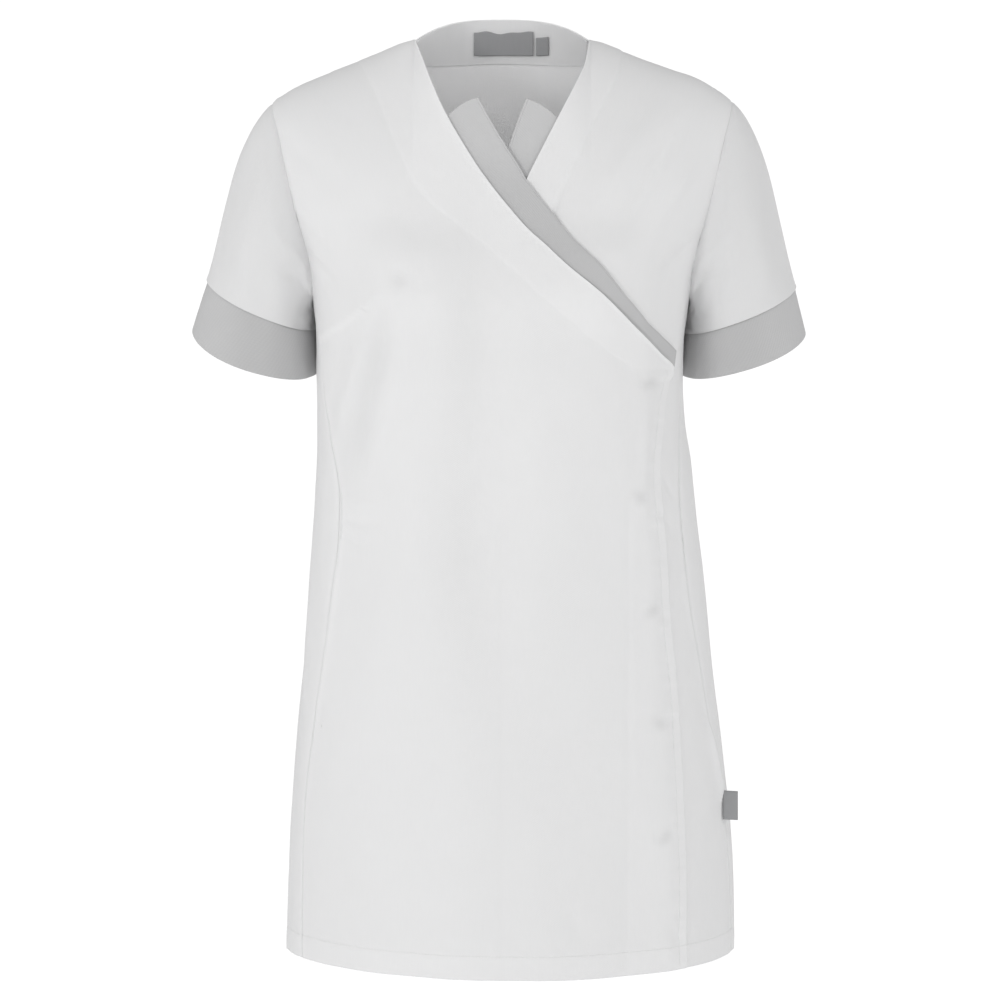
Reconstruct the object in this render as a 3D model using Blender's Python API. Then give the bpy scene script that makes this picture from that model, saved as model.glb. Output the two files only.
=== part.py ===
"""Women's wrap-front medical tunic with short sleeves, as it hangs on a wearer.

Metres, +Z up. The front faces -Y, and -X is the wearer's right. The origin is midway between
the two points where the shoulder seams meet the neckline, on the line that the shoulders carry.
Every panel lies on one smooth body form, so that neighbours share their seams.
"""

import math
from collections import namedtuple

import bmesh
import bpy
from mathutils import Vector

MM = 0.001

# Cloth: the thickness of each kind of wall, and the gaps between walls.
CLOTH = 1.2 * MM
TRIM = 1.0 * MM
LINING = 0.8 * MM
CUFF_CLOTH = 1.6 * MM
SEAM_GAP = 0.4 * MM
LABEL_GAP = 1.2 * MM

# Named heights on the tunic.
ARMHOLE_FLOOR = -0.232
HEM = -0.819
NECK_HALF_WIDTH = 0.0775
BACK_NECK_RISE = 0.0275
BACK_NECK_POWER = 2.8
BACK_NECK_CURVE = 0.85
OVERLAP_TIP = -0.293
POCKET_TOP = -0.453
POCKET_FLOOR = -0.612
POCKET_BAG_TOP = -0.425
POCKET_BAG_FLOOR = -0.696

# The body form. Half widths are measured from the centre line to each side. A section with
# its roundness under 1 is squarer than an ellipse, and over 1 it comes more to a point at the sides.
Section = namedtuple("Section", "height right_half left_half front back roundness")
SECTIONS = (
    Section(0.090, 0.260, 0.260, 0.066, 0.088, 0.88),
    Section(0.020, 0.250, 0.250, 0.070, 0.094, 0.88),
    Section(-0.056, 0.2400, 0.2390, 0.080, 0.104, 0.88),
    Section(-0.090, 0.2240, 0.2230, 0.088, 0.110, 0.88),
    Section(-0.150, 0.1980, 0.1970, 0.104, 0.113, 0.88),
    Section(-0.200, 0.1760, 0.1750, 0.116, 0.111, 0.88),
    Section(-0.235, 0.1690, 0.1675, 0.122, 0.107, 0.88),
    Section(-0.300, 0.1665, 0.1625, 0.125, 0.099, 0.88),
    Section(-0.340, 0.1660, 0.1640, 0.121, 0.093, 0.88),
    Section(-0.378, 0.1665, 0.1700, 0.117, 0.089, 0.89),
    Section(-0.430, 0.1700, 0.1765, 0.114, 0.088, 0.91),
    Section(-0.486, 0.1746, 0.1836, 0.117, 0.095, 0.95),
    Section(-0.540, 0.1791, 0.1890, 0.122, 0.107, 0.99),
    Section(-0.612, 0.1845, 0.1962, 0.128, 0.119, 1.04),
    Section(-0.684, 0.1883, 0.2030, 0.133, 0.125, 1.08),
    Section(-0.756, 0.1908, 0.2070, 0.137, 0.129, 1.12),
    Section(-0.819, 0.1930, 0.2078, 0.140, 0.132, 1.15),
)

# The ridge of the shoulders, which the shoulder seams follow. Inside the neck it is only a guide.
Ridge = namedtuple("Ridge", "reach right left")
RIDGE = (
    Ridge(-0.030, 0.0740, 0.0740),
    Ridge(0.000, 0.0850, 0.0850),
    Ridge(0.030, 0.0740, 0.0740),
    Ridge(0.051, 0.0460, 0.0460),
    Ridge(0.065, 0.0220, 0.0220),
    Ridge(0.0775, 0.0000, 0.0000),
    Ridge(0.0785, -0.0002, -0.0002),
    Ridge(0.088, -0.0022, -0.0020),
    Ridge(0.100, -0.0070, -0.0064),
    Ridge(0.125, -0.0174, -0.0166),
    Ridge(0.150, -0.0270, -0.0254),
    Ridge(0.175, -0.0376, -0.0342),
    Ridge(0.190, -0.0452, -0.0424),
    Ridge(0.205, -0.0548, -0.0530),
    Ridge(0.230, -0.0780, -0.0780),
    Ridge(0.260, -0.1100, -0.1100),
)
SHOULDER_ROLL = 0.13  # the height over which the shoulders round from the ridge to full depth

# The armhole is half an ellipse on the cloth: this wide, in degrees round the form.
ARMHOLE_SPREAD = 33.0
ARMHOLE_STEPS = 28
FRONT_JOIN = 12  # the step where the front meets the side panel
BACK_JOIN = 16  # the step where the side panel meets the back

# Where the side panels meet the fronts, from the centre line, and the back, in degrees round the form.
SideSeam = namedtuple("SideSeam", "height right_front left_front back")
SIDE_SEAMS = (
    SideSeam(-0.225, 0.1685, 0.1680, 97.4),
    SideSeam(-0.260, 0.1640, 0.1640, 98.5),
    SideSeam(-0.290, 0.1602, 0.1617, 100.0),
    SideSeam(-0.320, 0.1566, 0.1600, 103.0),
    SideSeam(-0.357, 0.1503, 0.1572, 107.0),
    SideSeam(-0.394, 0.1444, 0.1566, 110.0),
    SideSeam(-0.410, 0.1434, 0.1570, 111.0),
    SideSeam(-0.450, 0.1452, 0.1605, 112.0),
    SideSeam(-0.504, 0.1518, 0.1665, 112.0),
    SideSeam(-0.544, 0.1572, 0.1738, 111.0),
    SideSeam(-0.587, 0.1640, 0.1811, 110.0),
    SideSeam(-0.619, 0.1684, 0.1866, 110.0),
    SideSeam(-0.666, 0.1745, 0.1956, 109.0),
    SideSeam(-0.714, 0.1778, 0.2020, 108.0),
    SideSeam(-0.770, 0.1789, 0.2056, 107.0),
    SideSeam(-0.819, 0.1787, 0.2064, 107.0),
)

# The free edge of each front, seen from the front: the neckline, then the edge down to the hem.
Edge = namedtuple("Edge", "height across")
OVER_EDGE = (
    Edge(0.0000, -0.0775),
    Edge(-0.0100, -0.0737),
    Edge(-0.0217, -0.0690),
    Edge(-0.0419, -0.0614),
    Edge(-0.0739, -0.0480),
    Edge(-0.1149, -0.0243),
    Edge(-0.1385, -0.0077),
    Edge(-0.1571, 0.0072),
    Edge(-0.1746, 0.0221),
    Edge(-0.1887, 0.0370),
    Edge(-0.2087, 0.0567),
    Edge(-0.2341, 0.0867),
    Edge(-0.2587, 0.1136),
    Edge(-0.2811, 0.1362),
    Edge(-0.2930, 0.1472),
    Edge(-0.3217, 0.1431),
    Edge(-0.3568, 0.1402),
    Edge(-0.3803, 0.1386),
    Edge(-0.4267, 0.1418),
    Edge(-0.4556, 0.1444),
    Edge(-0.5112, 0.1472),
    Edge(-0.5504, 0.1510),
    Edge(-0.5877, 0.1544),
    Edge(-0.6310, 0.1569),
    Edge(-0.6958, 0.1601),
    Edge(-0.7390, 0.1616),
    Edge(-0.8190, 0.1620),
)
UNDER_EDGE = (
    Edge(0.0000, 0.0775),
    Edge(-0.0246, 0.0727),
    Edge(-0.0401, 0.0662),
    Edge(-0.0676, 0.0525),
    Edge(-0.0975, 0.0373),
    Edge(-0.1298, 0.0214),
    Edge(-0.1600, 0.0100),
    Edge(-0.2050, 0.0020),
    Edge(-0.2600, 0.0000),
    Edge(-0.8190, 0.0000),
)

# The over front rises over the under front, which leaves room for the snaps between them.
OVERLAP_LIFT = 4.0 * MM
LIFT_START = -0.100
LIFT_END = -0.012
LIFT_BELOW_RIDGE = 0.070
EDGE_PINCH = 1.9 * MM  # the over front comes down again along its free edge, past the snaps
PINCH_WIDTH = 0.006

# The contrast bands stand out past the necklines, to these edges, and start at a row of the fronts.
OVER_BAND_EDGE = (
    Edge(-0.0300, -0.0350),
    Edge(-0.0594, -0.0203),
    Edge(-0.0739, -0.0127),
    Edge(-0.1038, 0.0048),
    Edge(-0.1300, 0.0205),
    Edge(-0.1468, 0.0330),
    Edge(-0.1619, 0.0445),
    Edge(-0.1820, 0.0602),
    Edge(-0.2010, 0.0784),
    Edge(-0.2183, 0.0934),
    Edge(-0.2339, 0.1068),
    Edge(-0.2545, 0.1257),
    Edge(-0.2668, 0.1397),
    Edge(-0.2783, 0.1512),
    Edge(-0.2940, 0.1495),
)
UNDER_BAND_EDGE = (
    Edge(-0.0300, 0.0330),
    Edge(-0.0542, 0.0228),
    Edge(-0.0737, 0.0149),
    Edge(-0.1035, 0.0048),
    Edge(-0.1250, -0.0030),
    Edge(-0.1600, -0.0120),
)
BAND_TOP_ROW = 6
UNDER_BAND_ROWS = 3

# Five snaps close the front, hidden between the two layers.
SNAP_RADIUS = 5.0 * MM
SNAP_THICKNESS = 1.5 * MM
SNAP_CLEARANCE = 0.6 * MM
Snap = namedtuple("Snap", "across height")
SNAPS = (
    Snap(0.1283, -0.3059),
    Snap(0.1202, -0.4070),
    Snap(0.1324, -0.5053),
    Snap(0.1372, -0.6046),
    Snap(0.1430, -0.7029),
)

# Plain woven labels, each from its upper corner on the wearer's left: two at the nape, one in the left seam.
Label = namedtuple("Label", "across height width length")
NECK_LABEL = Label(0.0300, 0.0174, 0.0570, 0.0200)
SIZE_TAB = Label(0.0450, 0.0120, 0.0125, 0.0160)
SIDE_LABEL = Label(0.1965, -0.6710, 0.0145, 0.0265)
SIDE_LABEL_OUT = (0.97, 0.24, -0.08)  # the way it stands out from its seam
SIDE_LABEL_FACE = (0.24, -0.97, 0.0)  # the way its front looks
SIDE_LABEL_CLEARANCE = 0.7 * MM

# Sleeves. Each ring is given by its outermost and innermost points and its half depth.
Ring = namedtuple("Ring", "outer_x outer_z inner_x inner_z depth front_drop")
CUFF_LINES = {
    "right": Ring(0.2665, -0.2125, 0.1652, -0.2535, 0.053, 0.0150),
    "left": Ring(0.2655, -0.2190, 0.1628, -0.2575, 0.053, 0.0135),
}
SLEEVE_HEMS = {
    "right": Ring(0.2800, -0.2585, 0.1642, -0.2905, 0.054, 0.0230),
    "left": Ring(0.2745, -0.2610, 0.1602, -0.2940, 0.054, 0.0180),
}
SLEEVE_CENTRE_Y = 0.014
# Beside the body a ring is squarer and bends back, so that its inner end lies behind the body's widest line.
RING_INNER_POWER = 0.85
RING_BACK = 0.026
# How the sleeve leaves the armhole and comes to the cuff: (out, back, up) handles at four places round it.
Handles = namedtuple("Handles", "leave arrive")
SLEEVE_TOP = Handles((0.036, 0.0, -0.032), (0.018, 0.004, -0.056))
SLEEVE_FRONT = Handles((0.022, -0.016, -0.024), (0.008, 0.004, -0.036))
SLEEVE_UNDER = Handles((0.009, 0.003, -0.002), (-0.001, 0.001, -0.008))
SLEEVE_BACK = Handles((0.022, 0.022, -0.024), (0.008, 0.004, -0.036))
CUFF_TUCK = 0.07  # the share of the sleeve's length that the cuff reaches up inside it
CUFF_EASE = 0.1 * MM  # how much more room the tucked edge has
ARMHOLE_MIDDLE = 0.55  # the chart's second coordinate of a point inside the armhole

# Soft folds: each runs from one point to another, seen from the front, and sinks or stands by its depth.
FOLD_FADE = 0.4  # the share of a fold's length over which it fades
Fold = namedtuple("Fold", "start_x start_z end_x end_z width depth")
FRONT_FOLDS = (
    Fold(-0.105, -0.255, -0.143, -0.400, 0.026, -4.0 * MM),
    Fold(-0.075, -0.300, -0.118, -0.430, 0.030, 2.5 * MM),
    Fold(0.160, -0.075, 0.085, -0.185, 0.022, 2.5 * MM),
    Fold(0.175, -0.110, 0.110, -0.215, 0.020, -2.5 * MM),
    Fold(-0.030, -0.480, -0.045, -0.819, 0.036, 3.5 * MM),
    Fold(0.040, -0.520, 0.050, -0.819, 0.034, 3.0 * MM),
    Fold(-0.110, -0.560, -0.125, -0.819, 0.034, 3.0 * MM),
    Fold(0.105, -0.600, 0.115, -0.819, 0.030, -3.0 * MM),
)
BACK_FOLDS = (
    Fold(-0.085, -0.400, -0.105, -0.819, 0.040, 5.0 * MM),
    Fold(0.000, -0.440, 0.005, -0.819, 0.040, -5.0 * MM),
    Fold(0.085, -0.400, 0.110, -0.819, 0.040, 5.0 * MM),
    Fold(-0.150, -0.070, -0.070, -0.200, 0.026, 3.0 * MM),
    Fold(0.150, -0.070, 0.070, -0.200, 0.026, 3.0 * MM),
)

# Rows of the panels below the armholes.
LEVELS = (-0.245, -0.260, -0.276, OVERLAP_TIP, -0.322, -0.355, -0.390, POCKET_BAG_TOP, POCKET_TOP, -0.490,
          -0.530, -0.570, POCKET_FLOOR, -0.655, POCKET_BAG_FLOOR, -0.740, -0.780, HEM)
LEVEL_UNIT = 0.30  # metres of height for each unit of the chart below the armholes

FRONT_COLUMNS = 19
EDGE_STRIP = 0.028  # the share of a front's width in its last column, along the free edge
UNDER_COLUMNS = 12
SIDE_COLUMNS = 4
SHOULDER_COLUMNS = 5
NECK_COLUMNS = 14
LABEL_ROWS = 2
NECK_LABEL_COLUMNS = 5
SIZE_TAB_COLUMNS = 1
SLEEVE_RINGS = 8
FACING_ROWS = 2
POCKET_COLUMNS = 6
BAND_TUCK_COLUMNS = 2
FORM_ROUNDS = 7  # rounds in which a chart point's place across settles
SLEEVE_TURN_STEP = 0.3  # small steps on the sleeve, for its normals
SLEEVE_SHARE_STEP = 0.02

WHITE = (0.84, 0.84, 0.84)
GREY = (0.50, 0.50, 0.50)
DARK = (0.17, 0.17, 0.17)
PLASTIC = (0.80, 0.80, 0.80)


# ---------------------------------------------------------------- curves and the body form


def read(rows, at, column):
    """A smooth curve through one column of a table, against the table's first column."""
    keys = [row[0] for row in rows]
    if keys[0] > keys[-1]:
        return read(rows[::-1], at, column)
    last = len(rows) - 1
    at = min(max(at, keys[0]), keys[-1])
    i = max(k for k in range(last) if keys[k] <= at)

    def slope(k):
        low, high = max(k - 1, 0), min(k + 1, last)
        return (getattr(rows[high], column) - getattr(rows[low], column)) / (keys[high] - keys[low])

    span = keys[i + 1] - keys[i]
    t = (at - keys[i]) / span
    here, there = getattr(rows[i], column), getattr(rows[i + 1], column)
    bend_here, bend_there = slope(i) * span, slope(i + 1) * span
    return (
        here * (1 + 2 * t) * (1 - t) ** 2
        + bend_here * t * (1 - t) ** 2
        + there * t * t * (3 - 2 * t)
        + bend_there * t * t * (t - 1)
    )


def ease(t):
    """0 before 0, 1 after 1, and a smooth step between."""
    t = min(max(t, 0.0), 1.0)
    return t * t * (3 - 2 * t)


def signed_power(value, power):
    """A power of the value's size, with the value's sign."""
    return math.copysign(abs(value) ** power, value)


def ridge(x):
    """The height of the shoulders' ridge at a distance from the centre line."""
    return read(RIDGE, abs(x), "left" if x > 0 else "right")


def half_width(x_sign, z):
    return read(SECTIONS, z, "left_half" if x_sign > 0 else "right_half")


def fold_depth(folds, x, z):
    """How far the folds lift the cloth at a point. A fold is a soft ridge that fades at its ends."""
    total = 0.0
    for fold in folds:
        run_x, run_z = fold.end_x - fold.start_x, fold.end_z - fold.start_z
        length = math.hypot(run_x, run_z)
        along = ((x - fold.start_x) * run_x + (z - fold.start_z) * run_z) / length**2
        across = ((x - fold.start_x) * run_z - (z - fold.start_z) * run_x) / length
        fade_in = ease(along / FOLD_FADE)
        fade_out = 1.0 if fold.end_z <= HEM else ease((1 - along) / FOLD_FADE)
        total += fold.depth * fade_in * fade_out * math.exp(-((across / fold.width) ** 2))
    return total


def height_at(x, reach):
    """The chart's second coordinate as a height: 0 on the ridge, 1 at the armholes' floor."""
    if reach >= 1:
        return ARMHOLE_FLOOR - (reach - 1) * LEVEL_UNIT
    top = ridge(x)
    return top - (top - ARMHOLE_FLOOR) * (1 - math.cos(reach * math.pi / 2))


def reach_at(x, z):
    """The inverse of height_at."""
    if z <= ARMHOLE_FLOOR:
        return 1 + (ARMHOLE_FLOOR - z) / LEVEL_UNIT
    top = ridge(x)
    share = min(max((top - z) / (top - ARMHOLE_FLOOR), 0.0), 1.0)
    return math.acos(1 - share) / (math.pi / 2)


def angle_at(x, z, behind=False):
    """Degrees round the form of a point seen at (x, z): 0 at the front's middle, 90 at the left side."""
    share = min(abs(x) / half_width(x, z), 1.0) ** (1 / read(SECTIONS, z, "roundness"))
    angle = math.copysign(math.degrees(math.asin(share)), x)
    return 180 - angle if behind else angle


def form(angle, reach):
    """The body form's outer surface at a chart point."""
    turn = math.radians(angle)
    sideways, forwards = math.sin(turn), math.cos(turn)
    x = 0.0
    for _ in range(FORM_ROUNDS):
        z = height_at(x, reach)
        roundness = read(SECTIONS, z, "roundness")
        x = half_width(sideways, z) * signed_power(sideways, roundness)
    z = height_at(x, reach)
    below = min((ridge(x) - z) / SHOULDER_ROLL, 1.0)
    roll = math.sqrt(max(1 - (1 - below) ** 2, 0.0))
    if forwards >= 0:
        depth = read(SECTIONS, z, "front") + fold_depth(FRONT_FOLDS, x, z) * forwards
    else:
        depth = read(SECTIONS, z, "back") - fold_depth(BACK_FOLDS, x, z) * forwards
    return Vector((x, -depth * signed_power(forwards, roundness) * roll, z))


def normal_at(angle, reach):
    """The outward normal of the form at a chart point."""
    step_angle, step_reach = 0.4, 0.004
    back_step = step_reach if reach > 2 * step_reach else 0.0
    round_it = form(angle + step_angle, reach) - form(angle - step_angle, reach)
    down_it = form(angle, reach + step_reach) - form(angle, reach - back_step)
    return down_it.cross(round_it).normalized()


# ---------------------------------------------------------------- meshes


def material(name, colour, roughness, metallic=0.0):
    made = bpy.data.materials.get(name) or bpy.data.materials.new(name)
    made.use_nodes = True
    shader = made.node_tree.nodes["Principled BSDF"]
    shader.inputs["Base Color"].default_value = (*colour, 1.0)
    shader.inputs["Roughness"].default_value = roughness
    shader.inputs["Metallic"].default_value = metallic
    return made


def keep(name, mesh, finish):
    """A named object of the tunic, shaded smooth, with its material."""
    mesh.materials.append(finish)
    obj = bpy.data.objects.new(name, mesh)
    bpy.data.collections["tunic"].objects.link(obj)
    mesh.shade_smooth()
    mesh.set_sharp_from_angle(angle=math.radians(40))
    return obj


def wall(name, outer, inner, finish, ring=False):
    """A closed wall between two grids of points. In a ring, the last column joins the first."""
    rows, columns = len(outer), len(outer[0])
    shape = bmesh.new()
    faces = [[[shape.verts.new(point) for point in row] for row in grid] for grid in (outer, inner)]
    steps = range(columns if ring else columns - 1)
    for side, grid in enumerate(faces):
        for i in range(rows - 1):
            for j in steps:
                k = (j + 1) % columns
                a, b, c, d = grid[i][j], grid[i][k], grid[i + 1][k], grid[i + 1][j]
                falling = (outer[i][j] - outer[i + 1][k]).length < (outer[i][k] - outer[i + 1][j]).length
                halves = ((a, b, c), (a, c, d)) if falling else ((a, b, d), (b, c, d))
                for corners in halves:
                    shape.faces.new(corners if side else corners[::-1])
    top, bottom = [[faces[s][i] for s in (0, 1)] for i in (0, rows - 1)]
    rims = [(top, steps), (bottom[::-1], steps)]
    if not ring:
        left, right = [[[row[j] for row in faces[s]] for s in (0, 1)] for j in (0, columns - 1)]
        rims += [(left[::-1], range(rows - 1)), (right, range(rows - 1))]
    for (near, far), run in rims:
        for j in run:
            k = (j + 1) % len(near)
            shape.faces.new((near[j], near[k], far[k], far[j]))
    bmesh.ops.recalc_face_normals(shape, faces=shape.faces)
    mesh = bpy.data.meshes.new(name)
    shape.to_mesh(mesh)
    shape.free()
    return keep(name, mesh, finish)


def pulled_in(points, normals, distance):
    """The grid with each of its four edges moved inwards in the cloth, which leaves the seam gap."""
    rows, columns = len(points), len(points[0])
    moved = [[point.copy() for point in row] for row in points]
    for j in range(columns):
        for i, inside in ((0, 1), (rows - 1, rows - 2)):
            along = points[i][min(j + 1, columns - 1)] - points[i][max(j - 1, 0)]
            inwards = along.cross(normals[i][j]).normalized()
            inwards *= math.copysign(1, inwards.dot(points[inside][j] - points[i][j]))
            moved[i][j] += inwards * distance
    for i in range(rows):
        for j, inside in ((0, 1), (columns - 1, columns - 2)):
            along = points[min(i + 1, rows - 1)][j] - points[max(i - 1, 0)][j]
            inwards = along.cross(normals[i][j]).normalized()
            inwards *= math.copysign(1, inwards.dot(points[i][inside] - points[i][j]))
            moved[i][j] += inwards * distance
    return moved


def offset(points, normals, amounts):
    """The grid moved along its normals, by one distance or by a grid of them."""
    if not isinstance(amounts, list):
        amounts = [[amounts] * len(row) for row in points]
    return [
        [point + normal * amount for point, normal, amount in zip(*row)]
        for row in zip(points, normals, amounts)
    ]


class Panel:
    """A grid of chart points on the form, with the height of its outer face above the form."""

    def __init__(self, chart, lifts=None):
        self.chart = chart
        self.points = [[form(*spot) for spot in row] for row in chart]
        self.normals = [[normal_at(*spot) for spot in row] for row in chart]
        self.lifts = lifts or [[0.0] * len(row) for row in chart]
        self.seamed = pulled_in(self.points, self.normals, SEAM_GAP / 2)

    def make(self, name, thickness, finish, sink=0.0):
        """The wall of this panel, with its outer face sunk below the panel's own."""
        outside = [[lift - sink for lift in row] for row in self.lifts]
        inside = [[lift - sink - thickness for lift in row] for row in self.lifts]
        return wall(name, offset(self.seamed, self.normals, outside),
                    offset(self.seamed, self.normals, inside), finish)

    def part(self, rows, columns):
        """The panel's own points between two rows and two columns."""
        cut = Panel.__new__(Panel)
        for field in ("chart", "points", "normals", "lifts", "seamed"):
            grid = getattr(self, field)
            setattr(cut, field, [row[columns[0]:columns[1] + 1] for row in grid[rows[0]:rows[1] + 1]])
        return cut


# ---------------------------------------------------------------- the tunic's lines


def armhole(step):
    """Chart point on the left armhole: step 0 on the shoulder, then down the front and up the back."""
    turn = math.pi * step / ARMHOLE_STEPS
    return 90 - ARMHOLE_SPREAD * math.cos(turn), math.sin(turn)


def rows_of_reach(join):
    """The chart rows from the ridge to the hem, through the armhole's steps and the levels."""
    steps = range(FRONT_JOIN + 1) if join == FRONT_JOIN else range(ARMHOLE_STEPS, BACK_JOIN - 1, -1)
    return [armhole(step)[1] for step in steps] + [reach_at(0, z) for z in LEVELS]


def seam_angle(column, z):
    """The angle of a side seam at a height. The fronts' seams are given by how far across they are seen."""
    value = read(SIDE_SEAMS, z, column)
    return {"back": value, "left_front": angle_at(value, z), "right_front": -angle_at(-value, z)}[column]


def side_line(column, join):
    """The panel's side boundary: the armhole, then the side seam, as angles for each row."""
    steps = range(FRONT_JOIN + 1) if join == FRONT_JOIN else range(ARMHOLE_STEPS, BACK_JOIN - 1, -1)
    return [armhole(step)[0] for step in steps] + [seam_angle(column, z) for z in LEVELS]


def edge_angle(edge, reach, samples=300):
    """The angle at which a front's free edge crosses a chart row."""
    before = None
    for i in range(samples + 1):
        z = HEM * i / samples
        x = read(edge, z, "across")
        spot = reach_at(x, z), angle_at(x, z)
        if before and spot[0] >= reach:
            share = (reach - before[0]) / (spot[0] - before[0])
            return before[1] + (spot[1] - before[1]) * share
        before = spot
    return before[1]


def front_chart(side_angles, edge, columns):
    """A front's grid: each row runs from its side boundary to its free edge."""
    chart = []
    for reach, side in zip(rows_of_reach(FRONT_JOIN), side_angles):
        free = edge_angle(edge, reach)
        shares = [j / (columns - 1) * (1 - EDGE_STRIP) for j in range(columns)] + [1.0]
        chart.append([(side + (free - side) * share, reach) for share in shares])
    return chart


def over_lift(spot):
    """How far the over front stands above the form: over the under front it leaves room for the snaps."""
    x, _, z = form(*spot)
    lift = OVERLAP_LIFT * ease((x - LIFT_START) / (LIFT_END - LIFT_START))
    lift *= ease((ridge(x) - z) / LIFT_BELOW_RIDGE)
    if z < OVERLAP_TIP:
        free = read(OVER_EDGE, z, "across")
        lift -= EDGE_PINCH * ease(1 - (free - x) / PINCH_WIDTH) * ease((OVERLAP_TIP - z) / PINCH_WIDTH - 1)
    return lift


def back_neck_height(x):
    """The height of the back neckline, which stands up against the nape."""
    share = min(abs(x) / NECK_HALF_WIDTH, 1.0)
    return BACK_NECK_RISE * (1 - share**BACK_NECK_POWER) ** BACK_NECK_CURVE


def back_chart():
    """The back's grid, from the left side to the right, whose top is a shoulder, the neck and a shoulder."""
    columns = 2 * SHOULDER_COLUMNS + NECK_COLUMNS
    shoulder = armhole(ARMHOLE_STEPS)[0]
    neck = angle_at(NECK_HALF_WIDTH, 0.0, behind=True)
    tops = [(shoulder + (neck - shoulder) * j / SHOULDER_COLUMNS, 0.0) for j in range(SHOULDER_COLUMNS)]
    for j in range(NECK_COLUMNS + 1):
        share = j / NECK_COLUMNS
        x = NECK_HALF_WIDTH * (math.cos(math.pi * share) + 1 - 2 * share) / 2
        z = back_neck_height(x)
        tops.append((angle_at(x, z, behind=True), reach_at(x, z)))
    tops += [(360 - angle, reach) for angle, reach in tops[SHOULDER_COLUMNS - 1::-1]]
    reaches = rows_of_reach(BACK_JOIN)
    sides = side_line("back", BACK_JOIN)
    join_reach = armhole(BACK_JOIN)[1]
    chart = []
    for reach, side in zip(reaches, sides):
        rise = max(1 - reach / join_reach, 0.0)
        row = []
        for j, (top_angle, top_reach) in enumerate(tops):
            even = j / columns
            shared = (top_angle - shoulder) / (360 - 2 * shoulder)
            spread = even + (shared - even) * rise
            lifted = join_reach + (top_reach - join_reach) * rise if rise > 0 else reach
            row.append((side + (360 - 2 * side) * spread, lifted))
        chart.append(row)
    return chart


def side_chart(front_column):
    """A side panel's grid, on the wearer's left: its top is the floor of the armhole."""
    chart = []
    joins = BACK_JOIN - FRONT_JOIN
    chart.append([armhole(FRONT_JOIN + joins * j / SIDE_COLUMNS) for j in range(SIDE_COLUMNS + 1)])
    for z in LEVELS:
        front, back = seam_angle(front_column, z), seam_angle("back", z)
        chart.append([(front + (back - front) * j / SIDE_COLUMNS, reach_at(0, z))
                      for j in range(SIDE_COLUMNS + 1)])
    return chart


def mirrored(chart):
    """The chart of the same panel on the wearer's right."""
    return [[(-angle, reach) for angle, reach in row] for row in chart]


# ---------------------------------------------------------------- the pieces


def make_fronts(cloth, trim):
    """The two fronts, their pocket bags and their contrast bands, which share the fronts' own points."""
    right = [-angle for angle in side_line("right_front", FRONT_JOIN)]
    chart = front_chart(right, OVER_EDGE, FRONT_COLUMNS)
    over = Panel(chart, [[over_lift(spot) for spot in row] for row in chart])
    over.make("front_right", CLOTH, cloth)
    left = side_line("left_front", FRONT_JOIN)
    under = Panel(front_chart(left, UNDER_EDGE, UNDER_COLUMNS))
    under.make("front_left", CLOTH, cloth)
    first = FRONT_JOIN + 1
    rows = (first + LEVELS.index(POCKET_BAG_TOP), first + LEVELS.index(POCKET_BAG_FLOOR))
    for name, front in (("pocket_bag_right", over), ("pocket_bag_left", under)):
        front.part(rows, (0, POCKET_COLUMNS)).make(name, LINING, cloth, sink=CLOTH + SEAM_GAP)
    tip = first + LEVELS.index(OVERLAP_TIP)
    make_band("neck_band_right", over, (BAND_TOP_ROW, tip), OVER_BAND_EDGE, trim)
    make_band("neck_band_left", under, (BAND_TOP_ROW, BAND_TOP_ROW + UNDER_BAND_ROWS), UNDER_BAND_EDGE, trim)


def make_sides(cloth):
    Panel(side_chart("left_front")).make("side_left", CLOTH, cloth)
    Panel(mirrored(side_chart("right_front"))).make("side_right", CLOTH, cloth)


def make_back(cloth):
    back = Panel(back_chart())
    back.make("back", CLOTH, cloth)
    columns = (SHOULDER_COLUMNS - 2, SHOULDER_COLUMNS + NECK_COLUMNS + 2)
    facing = back.part((0, FACING_ROWS), columns)
    facing.make("back_neck_facing", LINING, cloth, sink=CLOTH + SEAM_GAP)


def make_band(name, front, rows, edge, trim):
    """A contrast band: it lies against the inside of its front's edge and stands out past it."""
    columns = len(front.chart[0]) - 1
    strip = front.part(rows, (columns - BAND_TUCK_COLUMNS, columns))
    for i, row in enumerate(strip.chart):
        free, reach = row[-1]
        shown = edge_angle(edge, reach)
        for share in (0.5, 1.0):
            spot = (free + (shown - free) * share, reach)
            strip.seamed[i].append(form(*spot))
            strip.normals[i].append(normal_at(*spot))
            strip.lifts[i].append(strip.lifts[i][-1])
    strip.make(name, TRIM, trim, sink=CLOTH + SEAM_GAP)


def make_nape_label(name, label, columns, finish):
    """A label that lies against the inside of the back neck facing."""
    depth = CLOTH + SEAM_GAP + LINING + LABEL_GAP
    outer, inner = [], []
    for i in range(LABEL_ROWS + 1):
        z = label.height - label.length * i / LABEL_ROWS
        row = []
        for j in range(columns + 1):
            x = label.across - label.width * j / columns
            row.append((angle_at(x, z, behind=True), reach_at(x, z)))
        outer.append([form(*spot) - normal_at(*spot) * depth for spot in row])
        inner.append([form(*spot) - normal_at(*spot) * (depth + TRIM) for spot in row])
    wall(name, outer, inner, finish)


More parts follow.
